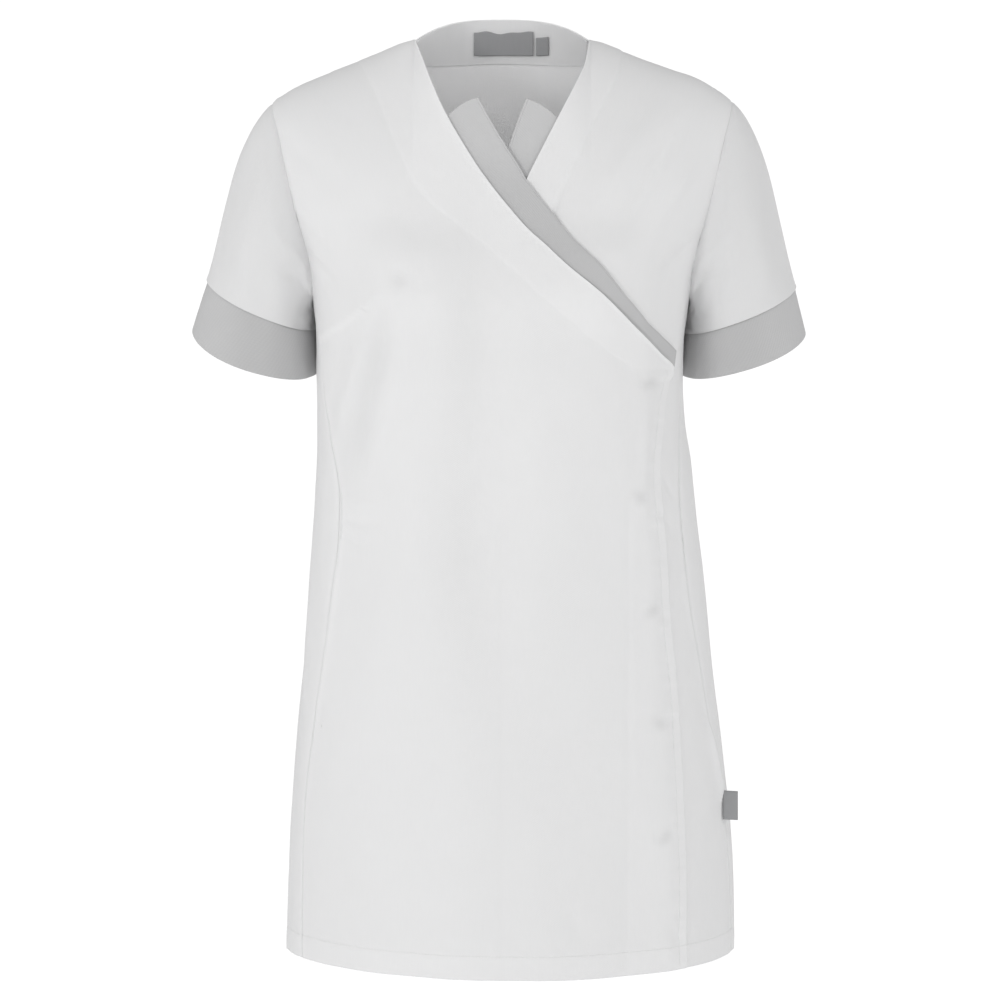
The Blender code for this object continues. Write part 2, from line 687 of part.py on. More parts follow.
def make_side_label(finish):
    """A folded label sewn into the left seam, which stands out from it."""
    out, face = Vector(SIDE_LABEL_OUT).normalized(), Vector(SIDE_LABEL_FACE).normalized()
    outer, inner = [], []
    for i in range(LABEL_ROWS + 1):
        z = SIDE_LABEL.height - SIDE_LABEL.length * i / LABEL_ROWS
        spot = angle_at(SIDE_LABEL.across, z), reach_at(SIDE_LABEL.across, z)
        start = form(*spot) + normal_at(*spot) * SIDE_LABEL_CLEARANCE
        points = [start + out * SIDE_LABEL.width * share for share in (0.0, 0.5, 1.0)]
        outer.append([point + face * TRIM for point in points])
        inner.append(points)
    wall("side_label", outer, inner, finish)


def make_snaps(plastic):
    """The snaps: plain discs between the two fronts."""
    for number, snap in enumerate(SNAPS, start=1):
        spot = (angle_at(snap.across, snap.height), reach_at(snap.across, snap.height))
        normal = normal_at(*spot)
        centre = form(*spot) + normal * (SNAP_CLEARANCE + SNAP_THICKNESS / 2)
        shape = bmesh.new()
        bmesh.ops.create_cone(shape, cap_ends=True, segments=20, radius1=SNAP_RADIUS,
                              radius2=SNAP_RADIUS, depth=SNAP_THICKNESS)
        mesh = bpy.data.meshes.new(f"snap_{number}")
        shape.to_mesh(mesh)
        shape.free()
        obj = keep(f"snap_{number}", mesh, plastic)
        obj.location = centre
        obj.rotation_euler = normal.to_track_quat("Z", "Y").to_euler()


def ring_point(ring, turn, side):
    """A point of a sleeve's ring: 0 is its outer side, then the front. Side is 1 on the wearer's left."""
    outer = Vector((side * ring.outer_x, SLEEVE_CENTRE_Y, ring.outer_z))
    inner = Vector((side * ring.inner_x, SLEEVE_CENTRE_Y, ring.inner_z))
    forwards = Vector((0.0, -ring.depth, -ring.front_drop))
    across, along = math.cos(turn), math.sin(turn)
    back = Vector((0.0, 0.0, 0.0))
    if across < 0:
        back.y = RING_BACK * across**2
        across = signed_power(across, RING_INNER_POWER)
        along = signed_power(along, RING_INNER_POWER)
    return (outer + inner) / 2 + (outer - inner) / 2 * across + forwards * along + back


def round_sleeve(turn, end, side):
    """A handle at this place round the sleeve, mixed from the four that are given."""
    across, along = math.cos(turn), math.sin(turn)
    parts = ((SLEEVE_TOP, max(across, 0)), (SLEEVE_FRONT, max(along, 0)),
             (SLEEVE_UNDER, max(-across, 0)), (SLEEVE_BACK, max(-along, 0)))
    out, back, up = [
        sum(getattr(handles, end)[axis] * share**2 for handles, share in parts) for axis in range(3)
    ]
    return Vector((side * out, back, up))


def sleeve_point(step, share, side):
    """A sleeve's outer surface, from the armhole (0) to the cuff line (1)."""
    turn = 2 * math.pi * step / ARMHOLE_STEPS
    angle, reach = armhole(step)
    cuff_line = CUFF_LINES["left" if side > 0 else "right"]
    start, finish = form(side * angle, reach), ring_point(cuff_line, turn, side)
    one, two = start + round_sleeve(turn, "leave", side), finish - round_sleeve(turn, "arrive", side)
    s = 1 - share
    return start * s**3 + one * 3 * s * s * share + two * 3 * s * share**2 + finish * share**3


def sleeve_normal(step, share, side):
    """The outward normal of a sleeve."""
    before, after = max(share - SLEEVE_SHARE_STEP, 0.0), min(share + SLEEVE_SHARE_STEP, 1.0)
    along = sleeve_point(step, after, side) - sleeve_point(step, before, side)
    ahead, behind = step + SLEEVE_TURN_STEP, step - SLEEVE_TURN_STEP
    round_it = sleeve_point(ahead, share, side) - sleeve_point(behind, share, side)
    return round_it.cross(along).normalized() * side


def sleeve_ring(share, side):
    """Points and outward normals of one ring of the sleeve. At the armhole it is drawn in by the seam gap."""
    points, normals = [], []
    hole = form(side * 90, ARMHOLE_MIDDLE)
    for step in range(ARMHOLE_STEPS):
        point = sleeve_point(step, share, side)
        normal = sleeve_normal(step, max(share, SLEEVE_SHARE_STEP), side)
        if share == 0:
            angle, reach = armhole(step)
            before, after = step - SLEEVE_TURN_STEP, step + SLEEVE_TURN_STEP
            along = sleeve_point(after, 0, side) - sleeve_point(before, 0, side)
            away = along.cross(normal_at(side * angle, reach)).normalized()
            away *= math.copysign(1, away.dot(hole - point))
            normal = (normal - away * max(normal.dot(away), 0.0)).normalized()
            point += away * SEAM_GAP / 2
        points.append(point)
        normals.append(normal)
    return points, normals


def make_sleeve(name, side, cloth, trim):
    """A sleeve and its contrast cuff, which reaches a little way up inside the sleeve's end."""
    rings = [sleeve_ring(i / SLEEVE_RINGS, side) for i in range(SLEEVE_RINGS + 1)]
    outer = [points for points, _ in rings]
    wall(f"sleeve_{name}", outer, offset(outer, [normals for _, normals in rings], -CLOTH), cloth, ring=True)
    cuff_outer, cuff_normals = [], []
    for share, drop in ((1 - CUFF_TUCK, CLOTH + SEAM_GAP + CUFF_EASE), (1.0, CLOTH + SEAM_GAP)):
        points, normals = sleeve_ring(share, side)
        cuff_outer.append([p - n * drop for p, n in zip(points, normals)])
        cuff_normals.append(normals)
    for share in (0.5, 1.0):
        turns = [2 * math.pi * step / ARMHOLE_STEPS for step in range(ARMHOLE_STEPS)]
        hem = [ring_point(SLEEVE_HEMS[name], turn, side) for turn in turns]
        cuff_outer.append([start.lerp(end, share) for start, end in zip(cuff_outer[1], hem)])
        cuff_normals.append(cuff_normals[1])
    wall(f"cuff_{name}", cuff_outer, offset(cuff_outer, cuff_normals, -CUFF_CLOTH), trim, ring=True)


def main():
    for obj in list(bpy.data.objects):
        bpy.data.objects.remove(obj)
    collection = bpy.data.collections.new("tunic")
    bpy.context.scene.collection.children.link(collection)
    cloth = material("white_cloth", WHITE, 0.85)
    trim = material("grey_cloth", GREY, 0.85)
    dark = material("label", DARK, 0.7)
    plastic = material("snap_plastic", PLASTIC, 0.35)
    make_fronts(cloth, trim)
    make_sides(cloth)
    make_back(cloth)
    make_sleeve("right", -1, cloth, trim)
    make_sleeve("left", 1, cloth, trim)
    make_nape_label("neck_label", NECK_LABEL, NECK_LABEL_COLUMNS, dark)
    make_nape_label("size_tab", SIZE_TAB, SIZE_TAB_COLUMNS, dark)
    make_side_label(dark)
    make_snaps(plastic)


main()
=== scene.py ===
"""The looks of the medical tunic: white twill with grey trim, sewn, pressed and softly creased."""

import math
from collections import namedtuple

import bpy
import numpy as np
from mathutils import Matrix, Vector


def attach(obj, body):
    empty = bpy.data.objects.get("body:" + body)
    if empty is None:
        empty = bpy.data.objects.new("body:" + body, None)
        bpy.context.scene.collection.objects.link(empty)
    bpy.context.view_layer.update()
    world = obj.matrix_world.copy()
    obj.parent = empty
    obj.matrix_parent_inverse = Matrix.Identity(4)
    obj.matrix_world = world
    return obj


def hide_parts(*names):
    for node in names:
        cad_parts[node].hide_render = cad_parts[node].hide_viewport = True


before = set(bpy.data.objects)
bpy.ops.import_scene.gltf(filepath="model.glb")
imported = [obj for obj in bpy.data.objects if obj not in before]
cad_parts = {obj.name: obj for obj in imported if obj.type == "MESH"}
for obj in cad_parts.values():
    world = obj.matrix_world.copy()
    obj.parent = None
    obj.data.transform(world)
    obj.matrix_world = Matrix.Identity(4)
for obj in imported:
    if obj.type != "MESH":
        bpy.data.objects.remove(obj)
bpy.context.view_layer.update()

RIGHT, LEFT = -1, 1  # the wearer's sides
SIDE_NAMES = {RIGHT: "right", LEFT: "left"}
MM = 0.001
CLOTH = 1.0 * MM
TRIM = 0.9 * MM
CUFF_CLOTH = 1.4 * MM
FACING = TRIM * 0.8
LABEL = 0.6 * MM
LINING = 0.5 * MM
SEAM_STEP = 0.75 * MM
SEAM_GAP = 0.3 * MM
LAYER_SINK = 1.5 * MM  # from a panel's face to the face of what lies against its inside
STEP = 2.9 * MM  # the size of a cell of the cloth
FRONT_STEP = 3.1 * MM
BACK_STEP = 3.5 * MM
BAND_STEP = 2.2 * MM
LINING_STEP = 4.5 * MM
SLEEVE_ROWS = 66
BAND_ROWS = 110
BAG_ROWS = 60
FACING_COLUMNS = 150
COARSE_COLUMNS = 81  # of the grid that a piece's columns are spaced along
EDGE_SAMPLES = 3000
FORM_ROUNDS = 7  # until a point's place across and its height agree
# Places of the first rows or columns from an edge, in mm: for a rounded edge, and for ones with stitches.
ROUNDED = [0.0, 0.12, 0.4, 0.9, 2.0, 4.0]
OVERLAP_STITCH = 9.4
STITCHED = ROUNDED + [6.5, 8.6, OVERLAP_STITCH, 10.2, 12.0]
HEM_STITCH = 20.5
HEM_EDGE = ROUNDED[:5] + [4.5, 8, 11.5, 14.5, 17, 19.0, 19.8, HEM_STITCH, 21.2, 22.0, 24.5, 27.0]


def table(columns, *rows):
    """Rows of numbers, with a name for each column."""
    return tuple(map(namedtuple("Row", columns)._make, rows))


def edge(*rows):
    """A line down the front: heights, and the places across as seen from there."""
    return table("height across", *rows)


def folds(*rows):
    """Folds that run from (u_1, v_1) to (u_2, v_2), with their widths in metres and their depths."""
    return table("u_1 v_1 u_2 v_2 width depth", *rows)


# ---------------------------------------------------------------- the body form, as in the part's source

ARMHOLE_FLOOR = -0.232
SEAM_START = -0.245
HEM = -0.819
SAG_START = -0.660
FRONT_SAG = 2.2 * MM
LEFT_SAG = 2.0 * MM
NECK_HALF_WIDTH = 0.0775
BACK_NECK_RISE = 0.0275
BACK_NECK_POWER = 2.8
BACK_NECK_CURVE = 0.85
OVERLAP_TIP = -0.293
SHOULDER_ROLL = 0.13
ARMHOLE_SPREAD = 33.0
ARMHOLE_STEPS = 28
FRONT_JOIN_REACH = math.sin(math.pi * 12 / ARMHOLE_STEPS)
BACK_JOIN_REACH = math.sin(math.pi * 16 / ARMHOLE_STEPS)
BAND_TOP_REACH = math.sin(math.pi * 6 / ARMHOLE_STEPS)
UNDER_BAND_END = 0.846
POCKET_BAG_TOP, POCKET_BAG_FLOOR = -0.425, -0.694
POCKET_BAG_SPREAD = 37.0  # degrees
BAND_TUCK = 7.0  # degrees
LEVEL_UNIT = 0.30
OVERLAP_LIFT = 4.0 * MM
LIFT_START = -0.100
LIFT_END = -0.012
LIFT_BELOW_RIDGE = 0.070
EDGE_PINCH = 2.7 * MM
PINCH_WIDTH = 0.019
PINCH_START = 0.006

SECTIONS = table(
    "height right_half left_half front back roundness",
    (0.09, 0.26, 0.26, 0.066, 0.088, 0.88),
    (0.02, 0.25, 0.25, 0.07, 0.094, 0.88),
    (-0.056, 0.24, 0.239, 0.08, 0.104, 0.88),
    (-0.09, 0.224, 0.223, 0.088, 0.11, 0.88),
    (-0.15, 0.198, 0.197, 0.104, 0.113, 0.88),
    (-0.2, 0.176, 0.175, 0.116, 0.111, 0.88),
    (-0.235, 0.169, 0.1675, 0.122, 0.107, 0.88),
    (-0.3, 0.1665, 0.1625, 0.125, 0.099, 0.88),
    (-0.34, 0.166, 0.164, 0.121, 0.093, 0.88),
    (-0.378, 0.1665, 0.17, 0.117, 0.089, 0.89),
    (-0.43, 0.17, 0.1765, 0.114, 0.088, 0.91),
    (-0.486, 0.1746, 0.1836, 0.117, 0.095, 0.95),
    (-0.54, 0.1791, 0.189, 0.122, 0.107, 0.99),
    (-0.612, 0.1845, 0.1962, 0.128, 0.119, 1.04),
    (-0.684, 0.1883, 0.203, 0.133, 0.125, 1.08),
    (-0.756, 0.1908, 0.207, 0.137, 0.129, 1.12),
    (-0.819, 0.193, 0.2078, 0.14, 0.132, 1.15),
)
RIDGE = table(
    "reach right left",
    (-0.03, 0.074, 0.074),
    (0.0, 0.085, 0.085),
    (0.03, 0.074, 0.074),
    (0.051, 0.046, 0.046),
    (0.065, 0.022, 0.022),
    (0.0775, 0.0, 0.0),
    (0.0785, -0.0002, -0.0002),
    (0.088, -0.0022, -0.002),
    (0.1, -0.007, -0.0064),
    (0.125, -0.0174, -0.0166),
    (0.15, -0.027, -0.0254),
    (0.175, -0.0376, -0.0342),
    (0.19, -0.0452, -0.0424),
    (0.205, -0.0548, -0.053),
    (0.23, -0.078, -0.078),
    (0.26, -0.11, -0.11),
)
SIDE_SEAMS = table(
    "height right_front left_front back",
    (-0.225, 0.1685, 0.168, 97.4),
    (-0.26, 0.164, 0.164, 98.5),
    (-0.29, 0.1602, 0.1617, 100.0),
    (-0.32, 0.1566, 0.16, 103.0),
    (-0.357, 0.1503, 0.1572, 107.0),
    (-0.394, 0.1444, 0.1566, 110.0),
    (-0.41, 0.1434, 0.157, 111.0),
    (-0.45, 0.1452, 0.1605, 112.0),
    (-0.504, 0.1518, 0.1665, 112.0),
    (-0.544, 0.1572, 0.1738, 111.0),
    (-0.587, 0.164, 0.1811, 110.0),
    (-0.619, 0.1684, 0.1866, 110.0),
    (-0.666, 0.1745, 0.1956, 109.0),
    (-0.714, 0.1778, 0.202, 108.0),
    (-0.77, 0.1789, 0.2056, 107.0),
    (-0.819, 0.1787, 0.2064, 107.0),
)
OVER_EDGE = edge(
    (0.0, -0.0775), (-0.01, -0.0737), (-0.0217, -0.069), (-0.0419, -0.0614), (-0.0739, -0.048),
    (-0.1149, -0.0243), (-0.1385, -0.0077), (-0.1571, 0.0072), (-0.1746, 0.0221), (-0.1887, 0.037),
    (-0.2087, 0.0567), (-0.2341, 0.0867), (-0.2587, 0.1136), (-0.2811, 0.1362), (-0.293, 0.1472),
    (-0.3217, 0.1431), (-0.3568, 0.1402), (-0.3803, 0.1386), (-0.4267, 0.1418), (-0.4556, 0.1444),
    (-0.5112, 0.1472), (-0.5504, 0.151), (-0.5877, 0.1544), (-0.631, 0.1569), (-0.6958, 0.1601),
    (-0.739, 0.1616), (-0.819, 0.162),
)
UNDER_EDGE = edge(
    (0.0, 0.0775), (-0.0246, 0.0727), (-0.0401, 0.0662), (-0.0676, 0.0525), (-0.0975, 0.0373),
    (-0.1298, 0.0214), (-0.16, 0.01), (-0.205, 0.002), (-0.26, 0.0), (-0.819, 0.0),
)
OVER_BAND_EDGE = edge(
    (-0.03, -0.035), (-0.0594, -0.0203), (-0.0739, -0.0127), (-0.1038, 0.0048), (-0.13, 0.0205),
    (-0.1468, 0.033), (-0.1619, 0.0445), (-0.182, 0.0602), (-0.201, 0.0784), (-0.2183, 0.0934),
    (-0.2339, 0.1068), (-0.2545, 0.1257), (-0.2668, 0.1397), (-0.2783, 0.1512), (-0.294, 0.1495),
)
UNDER_BAND_EDGE = edge(
    (-0.03, 0.033), (-0.0542, 0.0228), (-0.0737, 0.0149), (-0.1035, 0.0048), (-0.125, -0.003),
    (-0.16, -0.012),
)
SNAPS = table(
    "across height",
    (0.1283, -0.3059), (0.1202, -0.407), (0.1324, -0.5053), (0.1372, -0.6046), (0.143, -0.7029),
)
Ring = namedtuple("Ring", "outer_x outer_z inner_x inner_z depth front_drop")
CUFF_LINES = {
    RIGHT: Ring(0.2665, -0.2125, 0.1652, -0.2535, 0.053, 0.0150),
    LEFT: Ring(0.2655, -0.2190, 0.1628, -0.2575, 0.053, 0.0135),
}
SLEEVE_HEMS = {
    RIGHT: Ring(0.2800, -0.2585, 0.1642, -0.2905, 0.054, 0.0230),
    LEFT: Ring(0.2745, -0.2610, 0.1602, -0.2940, 0.054, 0.0180),
}
RING_INNER_POWER = 0.85
RING_BACK = 0.026
SLEEVE_CENTRE_Y = 0.014
Handles = namedtuple("Handles", "leave arrive")
SLEEVE_TOP = Handles((0.036, 0.0, -0.032), (0.018, 0.004, -0.056))
SLEEVE_FRONT = Handles((0.022, -0.016, -0.024), (0.008, 0.004, -0.036))
SLEEVE_UNDER = Handles((0.003, 0.003, -0.006), (0.0, 0.001, -0.008))
SLEEVE_BACK = Handles((0.022, 0.022, -0.024), (0.008, 0.004, -0.036))
SLEEVE_LENGTH = 0.20
SLEEVE_RADIUS = 0.055
CUFF_LENGTH = 0.043
ARM_COLUMNS = 150
ARM_TURN = np.arange(ARM_COLUMNS) * 2 * math.pi / ARM_COLUMNS

# ---------------------------------------------------------------- folds and creases

# A fold sinks or stands by its depth, in mm, and fades out at both ends. These run over the front,
# from one place across and height to another.
FOLD_STRENGTH = 1.5
FRONT_FOLDS = folds(
    # the drags from the dart and the chest down to the right pocket, with the dimple at their head
    (-0.09, -0.225, -0.135, -0.4, 0.011, -3.2),
    (-0.072, -0.245, -0.115, -0.4, 0.012, 1.6),
    (-0.11, -0.233, -0.152, -0.39, 0.013, 1.6),
    (-0.033, -0.13, -0.05, -0.36, 0.02, 2.2),
    # creases that leave the right pocket's upper bar
    (-0.144, -0.423, -0.106, -0.432, 0.005, -0.9),
    (-0.144, -0.433, -0.118, -0.452, 0.005, -0.7),
    (-0.136, -0.41, -0.098, -0.412, 0.007, 0.6),
    # the left shoulder
    (0.164, -0.07, 0.102, -0.183, 0.009, -2.0),
    (0.142, -0.06, 0.08, -0.165, 0.01, 1.5),
    (0.174, -0.105, 0.12, -0.2, 0.009, 1.3),
    (0.176, -0.175, 0.135, -0.215, 0.007, -1.5),
    # below the tip of the overlap, and beside the left seam
    (0.1384, -0.381, 0.1522, -0.4097, 0.004, -0.8),
    (0.136, -0.415, 0.15, -0.44, 0.004, -0.6),
    (0.128, -0.312, 0.115, -0.45, 0.008, 0.6),
    # the lap of the skirt
    (-0.1, -0.45, -0.108, -0.65, 0.026, 2.0),
    (0.05, -0.745, 0.076, -0.79, 0.007, -0.9),
    (0.138, -0.775, 0.161, -0.793, 0.006, -0.9),
)
# Painted shade and painted highlight on the darker and lighter flanks of those folds. Here the depth is a
# share of the colour.
FRONT_PAINTED_SHADES = folds(
    (-0.098, -0.225, -0.14, -0.41, 0.0115, -0.062),
    (-0.082, -0.245, -0.122, -0.395, 0.009, 0.03),
    (-0.124, -0.26, -0.146, -0.37, 0.0065, 0.014),
    (-0.034, -0.13, -0.02, -0.37, 0.022, -0.015),
    (-0.033, -0.385, -0.033, -0.495, 0.012, -0.012),
    (0.102, -0.183, 0.164, -0.07, 0.006, -0.012),
)
# These run by degrees round the body (0 is the front's middle, 90 the wearer's left) and heights.
BODY_FOLDS = folds(
    # the fullness over the chest, and the long soft fall from it
    (-27, -0.165, -27, -0.265, 0.046, 5.0),
    (27, -0.165, 27, -0.265, 0.046, 5.0),
    (-24, -0.25, -17, -0.64, 0.03, 3.2),
    (-2, -0.12, -4, -0.64, 0.022, -4.6),
    (17, -0.28, 12, -0.62, 0.026, 2.6),
    # the right shoulder
    (-58, -0.08, -40, -0.15, 0.013, -1.0),
    (-74, -0.19, -54, -0.225, 0.008, -1.2),
    (-66, -0.15, -46, -0.2, 0.01, 0.9),
    # the skirt of the tunic
    (-9, -0.56, -11, -0.9, 0.03, 3.0),
    (11, -0.6, 12, -0.9, 0.026, 2.6),
    (-36, -0.6, -37, -0.9, 0.026, 2.4),
    (36, -0.64, 38, -0.9, 0.022, -2.4),
    (15, -0.6165, 38, -0.6175, 0.0035, -0.35),
    # under the arms and down the sides
    (84, -0.245, 98, -0.33, 0.01, -1.6),
    (-84, -0.245, -98, -0.33, 0.01, -1.6),
    (88, -0.38, 88, -0.62, 0.016, -1.6),
    (-90, -0.4, -86, -0.64, 0.016, -1.6),
    (92, -0.64, 94, -0.9, 0.018, 2.0),
    (-93, -0.64, -95, -0.9, 0.018, 2.0),
    # the back
    (152, -0.16, 152, -0.24, 0.05, 3.0),
    (208, -0.16, 208, -0.24, 0.05, 3.0),
    (180, -0.12, 180, -0.33, 0.028, -3.0),
    (158, -0.36, 154, -0.9, 0.036, 4.6),
    (180, -0.43, 179, -0.9, 0.036, -4.4),
    (203, -0.36, 207, -0.9, 0.036, 4.6),
    (131, -0.52, 128, -0.9, 0.024, -2.4),
    (229, -0.54, 233, -0.9, 0.024, -2.4),
    (148, -0.372, 196, -0.392, 0.01, -1.7),
    (168, -0.41, 214, -0.402, 0.01, -1.5),
    (140, -0.345, 172, -0.352, 0.009, 1.2),
    (126, -0.255, 148, -0.335, 0.011, -1.5),
    (234, -0.255, 210, -0.335, 0.011, -1.5),
    (132, -0.12, 150, -0.215, 0.014, -1.4),
    (228, -0.12, 210, -0.215, 0.014, -1.4),
    (122, -0.215, 140, -0.245, 0.008, -1.2),
    (238, -0.215, 220, -0.245, 0.008, -1.2),
)
METRES_PER_DEGREE = 0.0026
# These run by degrees round a sleeve (0 is outermost, 90 the front) and shares of its length.
SLEEVE_FOLDS = folds(
    (150, 0.1, 96, 0.62, 0.01, -2.2),
    (132, 0.02, 80, 0.42, 0.01, 1.6),
    (165, 0.35, 118, 0.95, 0.009, -1.6),
    (170, 0.45, 130, 1.4, 0.0085, -3.0),
    (148, 0.35, 116, 1.3, 0.008, 1.2),
    (60, 0.15, 62, 1.1, 0.016, 1.6),
    (30, 0.3, 22, 1.1, 0.016, -1.2),
    (104, 0.55, 98, 1.1, 0.012, 1.2),
    (210, 0.1, 262, 0.6, 0.011, -2.0),
    (228, 0.05, 280, 0.45, 0.01, 1.6),
    (196, 0.4, 240, 0.95, 0.009, -1.4),
    (300, 0.2, 302, 1.1, 0.016, 1.4),
)
# Painted shade along the folds under the arm, by the same degrees and shares; the depth is a share of the
# colour.
SLEEVE_PAINTED_SHADES = folds(
    (158, 0.2, 124, 1.6, 0.016, -0.13),
    (136, 0.5, 108, 1.5, 0.005, -0.05),
)
METRES_PER_TURN_DEGREE = 0.00096

# ---------------------------------------------------------------- marks of the sewing

PUCKER = 0.22 * MM
POCKET_MOUTH_TOP = -0.455
RIGHT_MOUTH_FLOOR = -0.610
LEFT_MOUTH_FLOOR = -0.690
GAPE_TOP, GAPE_FLOOR = -0.600, -0.688
BAR_TOP, BAR_FLOOR = -0.402, -0.444
BAR_FROM_SEAM = 4 * MM
PLACKET_LINE = 0.1085
PLACKET_TOP = -0.400
OVER_FACING_WIDTH = 0.055
UNDER_FACING_WIDTH = 0.033
UNDER_FACING_FLOOR = -0.200
NOTCH = (0.0445, -0.1630)
NOTCH_FOLD = (0.0445, -0.1640, 0.0560, -0.1350)
NECK_STITCH = 6 * MM
FACING_HALF = 0.096
FACING_FLOOR = -0.0115
DART_START, DART_END, DART_FADE = (-0.1620, -0.2680), (-0.1190, -0.2425), (-0.1020, -0.2229)
# Dents and swellings: across, height, radius, mm that it stands up, and the painted shade in it as a share of
# the colour.
DART_MARKS = (
    (-0.1170, -0.2455, 0.0035, -0.9, 0.0),
    (-0.1175, -0.2440, 0.0020, 0.0, 0.10),
    (-0.0869, -0.2168, 0.0075, -2.4, 0.045),
)
# The same round each snap, from its middle.
SNAP_MARKS = (
    (0.0, 0.0, 0.0050, -1.4, 0.09),
    (-0.003, 0.006, 0.0055, 0.55, 0.0),
    (0.003, -0.008, 0.0060, 0.45, 0.0),
)
THREAD_MARKED_SNAPS = (0, 4)
BAR_TACK_PITCH = 0.55 * MM

# ---------------------------------------------------------------- labels

LABEL_GAP = 1.2 * MM
NECK_LABEL_START, NECK_LABEL_WIDTH = 0.0300, 0.0565
NECK_LABEL_TOP, NECK_LABEL_FLOOR = 0.0169, -0.0036
SIZE_TAB_START, SIZE_TAB_TOP = 0.0448, 0.0120
SIZE_TAB_WIDTH, SIZE_TAB_LENGTH = 0.0120, 0.0160
SIDE_LABEL_ACROSS, SIDE_LABEL_TOP = 0.1965, -0.6715
SIDE_LABEL_WIDTH, SIDE_LABEL_LENGTH = 0.0138, 0.0255
SIDE_LABEL_OUT = (0.97, 0.24, -0.08)  # the way it stands out from its seam
SIDE_LABEL_FACE = (0.24, -0.97, 0.0)  # the way its front looks
SIDE_LABEL_CLEARANCE = 1.1 * MM


def curve(rows, column, at):
    """A smooth curve through one column of a table, against its first column."""
    rows = sorted(rows)
    keys = np.array([row[0] for row in rows])
    values = np.array([getattr(row, column) for row in rows])
    slopes = np.empty(len(keys))
    slopes[1:-1] = (values[2:] - values[:-2]) / (keys[2:] - keys[:-2])
    slopes[0] = (values[1] - values[0]) / (keys[1] - keys[0])
    slopes[-1] = (values[-1] - values[-2]) / (keys[-1] - keys[-2])
    at = np.clip(at, keys[0], keys[-1])
    i = np.clip(np.searchsorted(keys, at, side="right") - 1, 0, len(keys) - 2)
    span = keys[i + 1] - keys[i]
    t = (at - keys[i]) / span
    return (
        values[i] * (1 + 2 * t) * (1 - t) ** 2
        + slopes[i] * span * t * (1 - t) ** 2
        + values[i + 1] * t * t * (3 - 2 * t)
        + slopes[i + 1] * span * t * t * (t - 1)
    )


def ease(t):
    t = np.clip(t, 0.0, 1.0)
    return t * t * (3 - 2 * t)


def peak(distance, width):
    """A soft ridge, 1 where the distance is 0."""
    return np.exp(-((distance / width) ** 2))


def between(z, low, high, low_fade=0.03):
    return ease((z - low) / low_fade) * ease((high - z) / 0.03)


def signed_power(value, power):
    return np.sign(value) * np.abs(value) ** power


def ridge(x):
    return np.where(x > 0, curve(RIDGE, "left", np.abs(x)), curve(RIDGE, "right", np.abs(x)))


def half_width(sign, z):
    return np.where(sign > 0, curve(SECTIONS, "left_half", z), curve(SECTIONS, "right_half", z))


def neck_height(x):
    """The height of the back's neckline, 0 at the neck's sides and beyond."""
    share = np.minimum(np.abs(x) / NECK_HALF_WIDTH, 1)
    return BACK_NECK_RISE * (1 - share**BACK_NECK_POWER) ** BACK_NECK_CURVE


def level_reach(z):
    """The reach of a level below the armholes."""
    return 1 + (ARMHOLE_FLOOR - z) / LEVEL_UNIT


def height_at(x, reach):
    top = ridge(x)
    upper = top - (top - ARMHOLE_FLOOR) * (1 - np.cos(np.minimum(reach, 1) * math.pi / 2))
    return np.where(reach >= 1, ARMHOLE_FLOOR - (reach - 1) * LEVEL_UNIT, upper)


def reach_at(x, z):
    top = ridge(x)
    share = np.clip((top - z) / (top - ARMHOLE_FLOOR), 0.0, 1.0)
    return np.where(z <= ARMHOLE_FLOOR, level_reach(z), np.arccos(1 - share) / (math.pi / 2))


def angle_at(x, z, behind=False):
    share = np.clip(np.abs(x) / half_width(x, z), 0.0, 1.0) ** (1 / curve(SECTIONS, "roundness", z))
    angle = np.sign(x) * np.degrees(np.arcsin(share))
    return 180 - angle if behind else angle


def form(angle, reach):
    """The body form's outer surface at chart points."""
    turn = np.radians(angle)
    sideways, forwards = np.sin(turn), np.cos(turn)
    x = np.zeros_like(sideways * reach)
    for _ in range(FORM_ROUNDS):
        z = height_at(x, reach)
        roundness = curve(SECTIONS, "roundness", z)
        x = half_width(sideways, z) * signed_power(sideways, roundness)
    z = height_at(x, reach)
    below = np.minimum((ridge(x) - z) / SHOULDER_ROLL, 1.0)
    roll = np.sqrt(np.maximum(1 - (1 - below) ** 2, 0.0))
    depth = np.where(forwards >= 0, curve(SECTIONS, "front", z), curve(SECTIONS, "back", z))
    return np.stack([x, -depth * signed_power(forwards, roundness) * roll, z], -1)


def unit(v):
    return v / np.maximum(np.linalg.norm(v, axis=-1, keepdims=True), 1e-12)


def normal_at(angle, reach):
    back = np.where(reach > 0.008, 0.004, 0.0)
    round_it = form(angle + 0.4, reach) - form(angle - 0.4, reach)
    down_it = form(angle, reach + 0.004) - form(angle, reach - back)
    return unit(np.cross(down_it, round_it))


def armhole_angle(reach):
    return 90 - ARMHOLE_SPREAD * np.sqrt(np.maximum(1 - reach**2, 0.0))


def seam_angle(column, z):
    value = curve(SIDE_SEAMS, column, z)
    if column == "back":
        return value
    return angle_at(value, z) if column == "left_front" else -angle_at(-value, z)


def side_angle(column, reach):
    """The angle of a side boundary: the armhole, then the side seam."""
    first, level = FRONT_JOIN_REACH, level_reach(SEAM_START)
    top = armhole_angle(np.minimum(reach, first))
    top = 180 - top if column == "back" else top
    lower = seam_angle(column, height_at(0, np.maximum(reach, level)))
    return top + (lower - top) * np.clip((reach - first) / (level - first), 0, 1)


def edge_angle(line, reach):
    z = np.linspace(0, HEM, EDGE_SAMPLES)
    x = curve(line, "across", z)
    spots, angles = reach_at(x, z), angle_at(x, z)
    keep = np.concatenate([[True], np.diff(np.maximum.accumulate(spots)) > 0])
    return np.interp(reach, spots[keep], angles[keep])


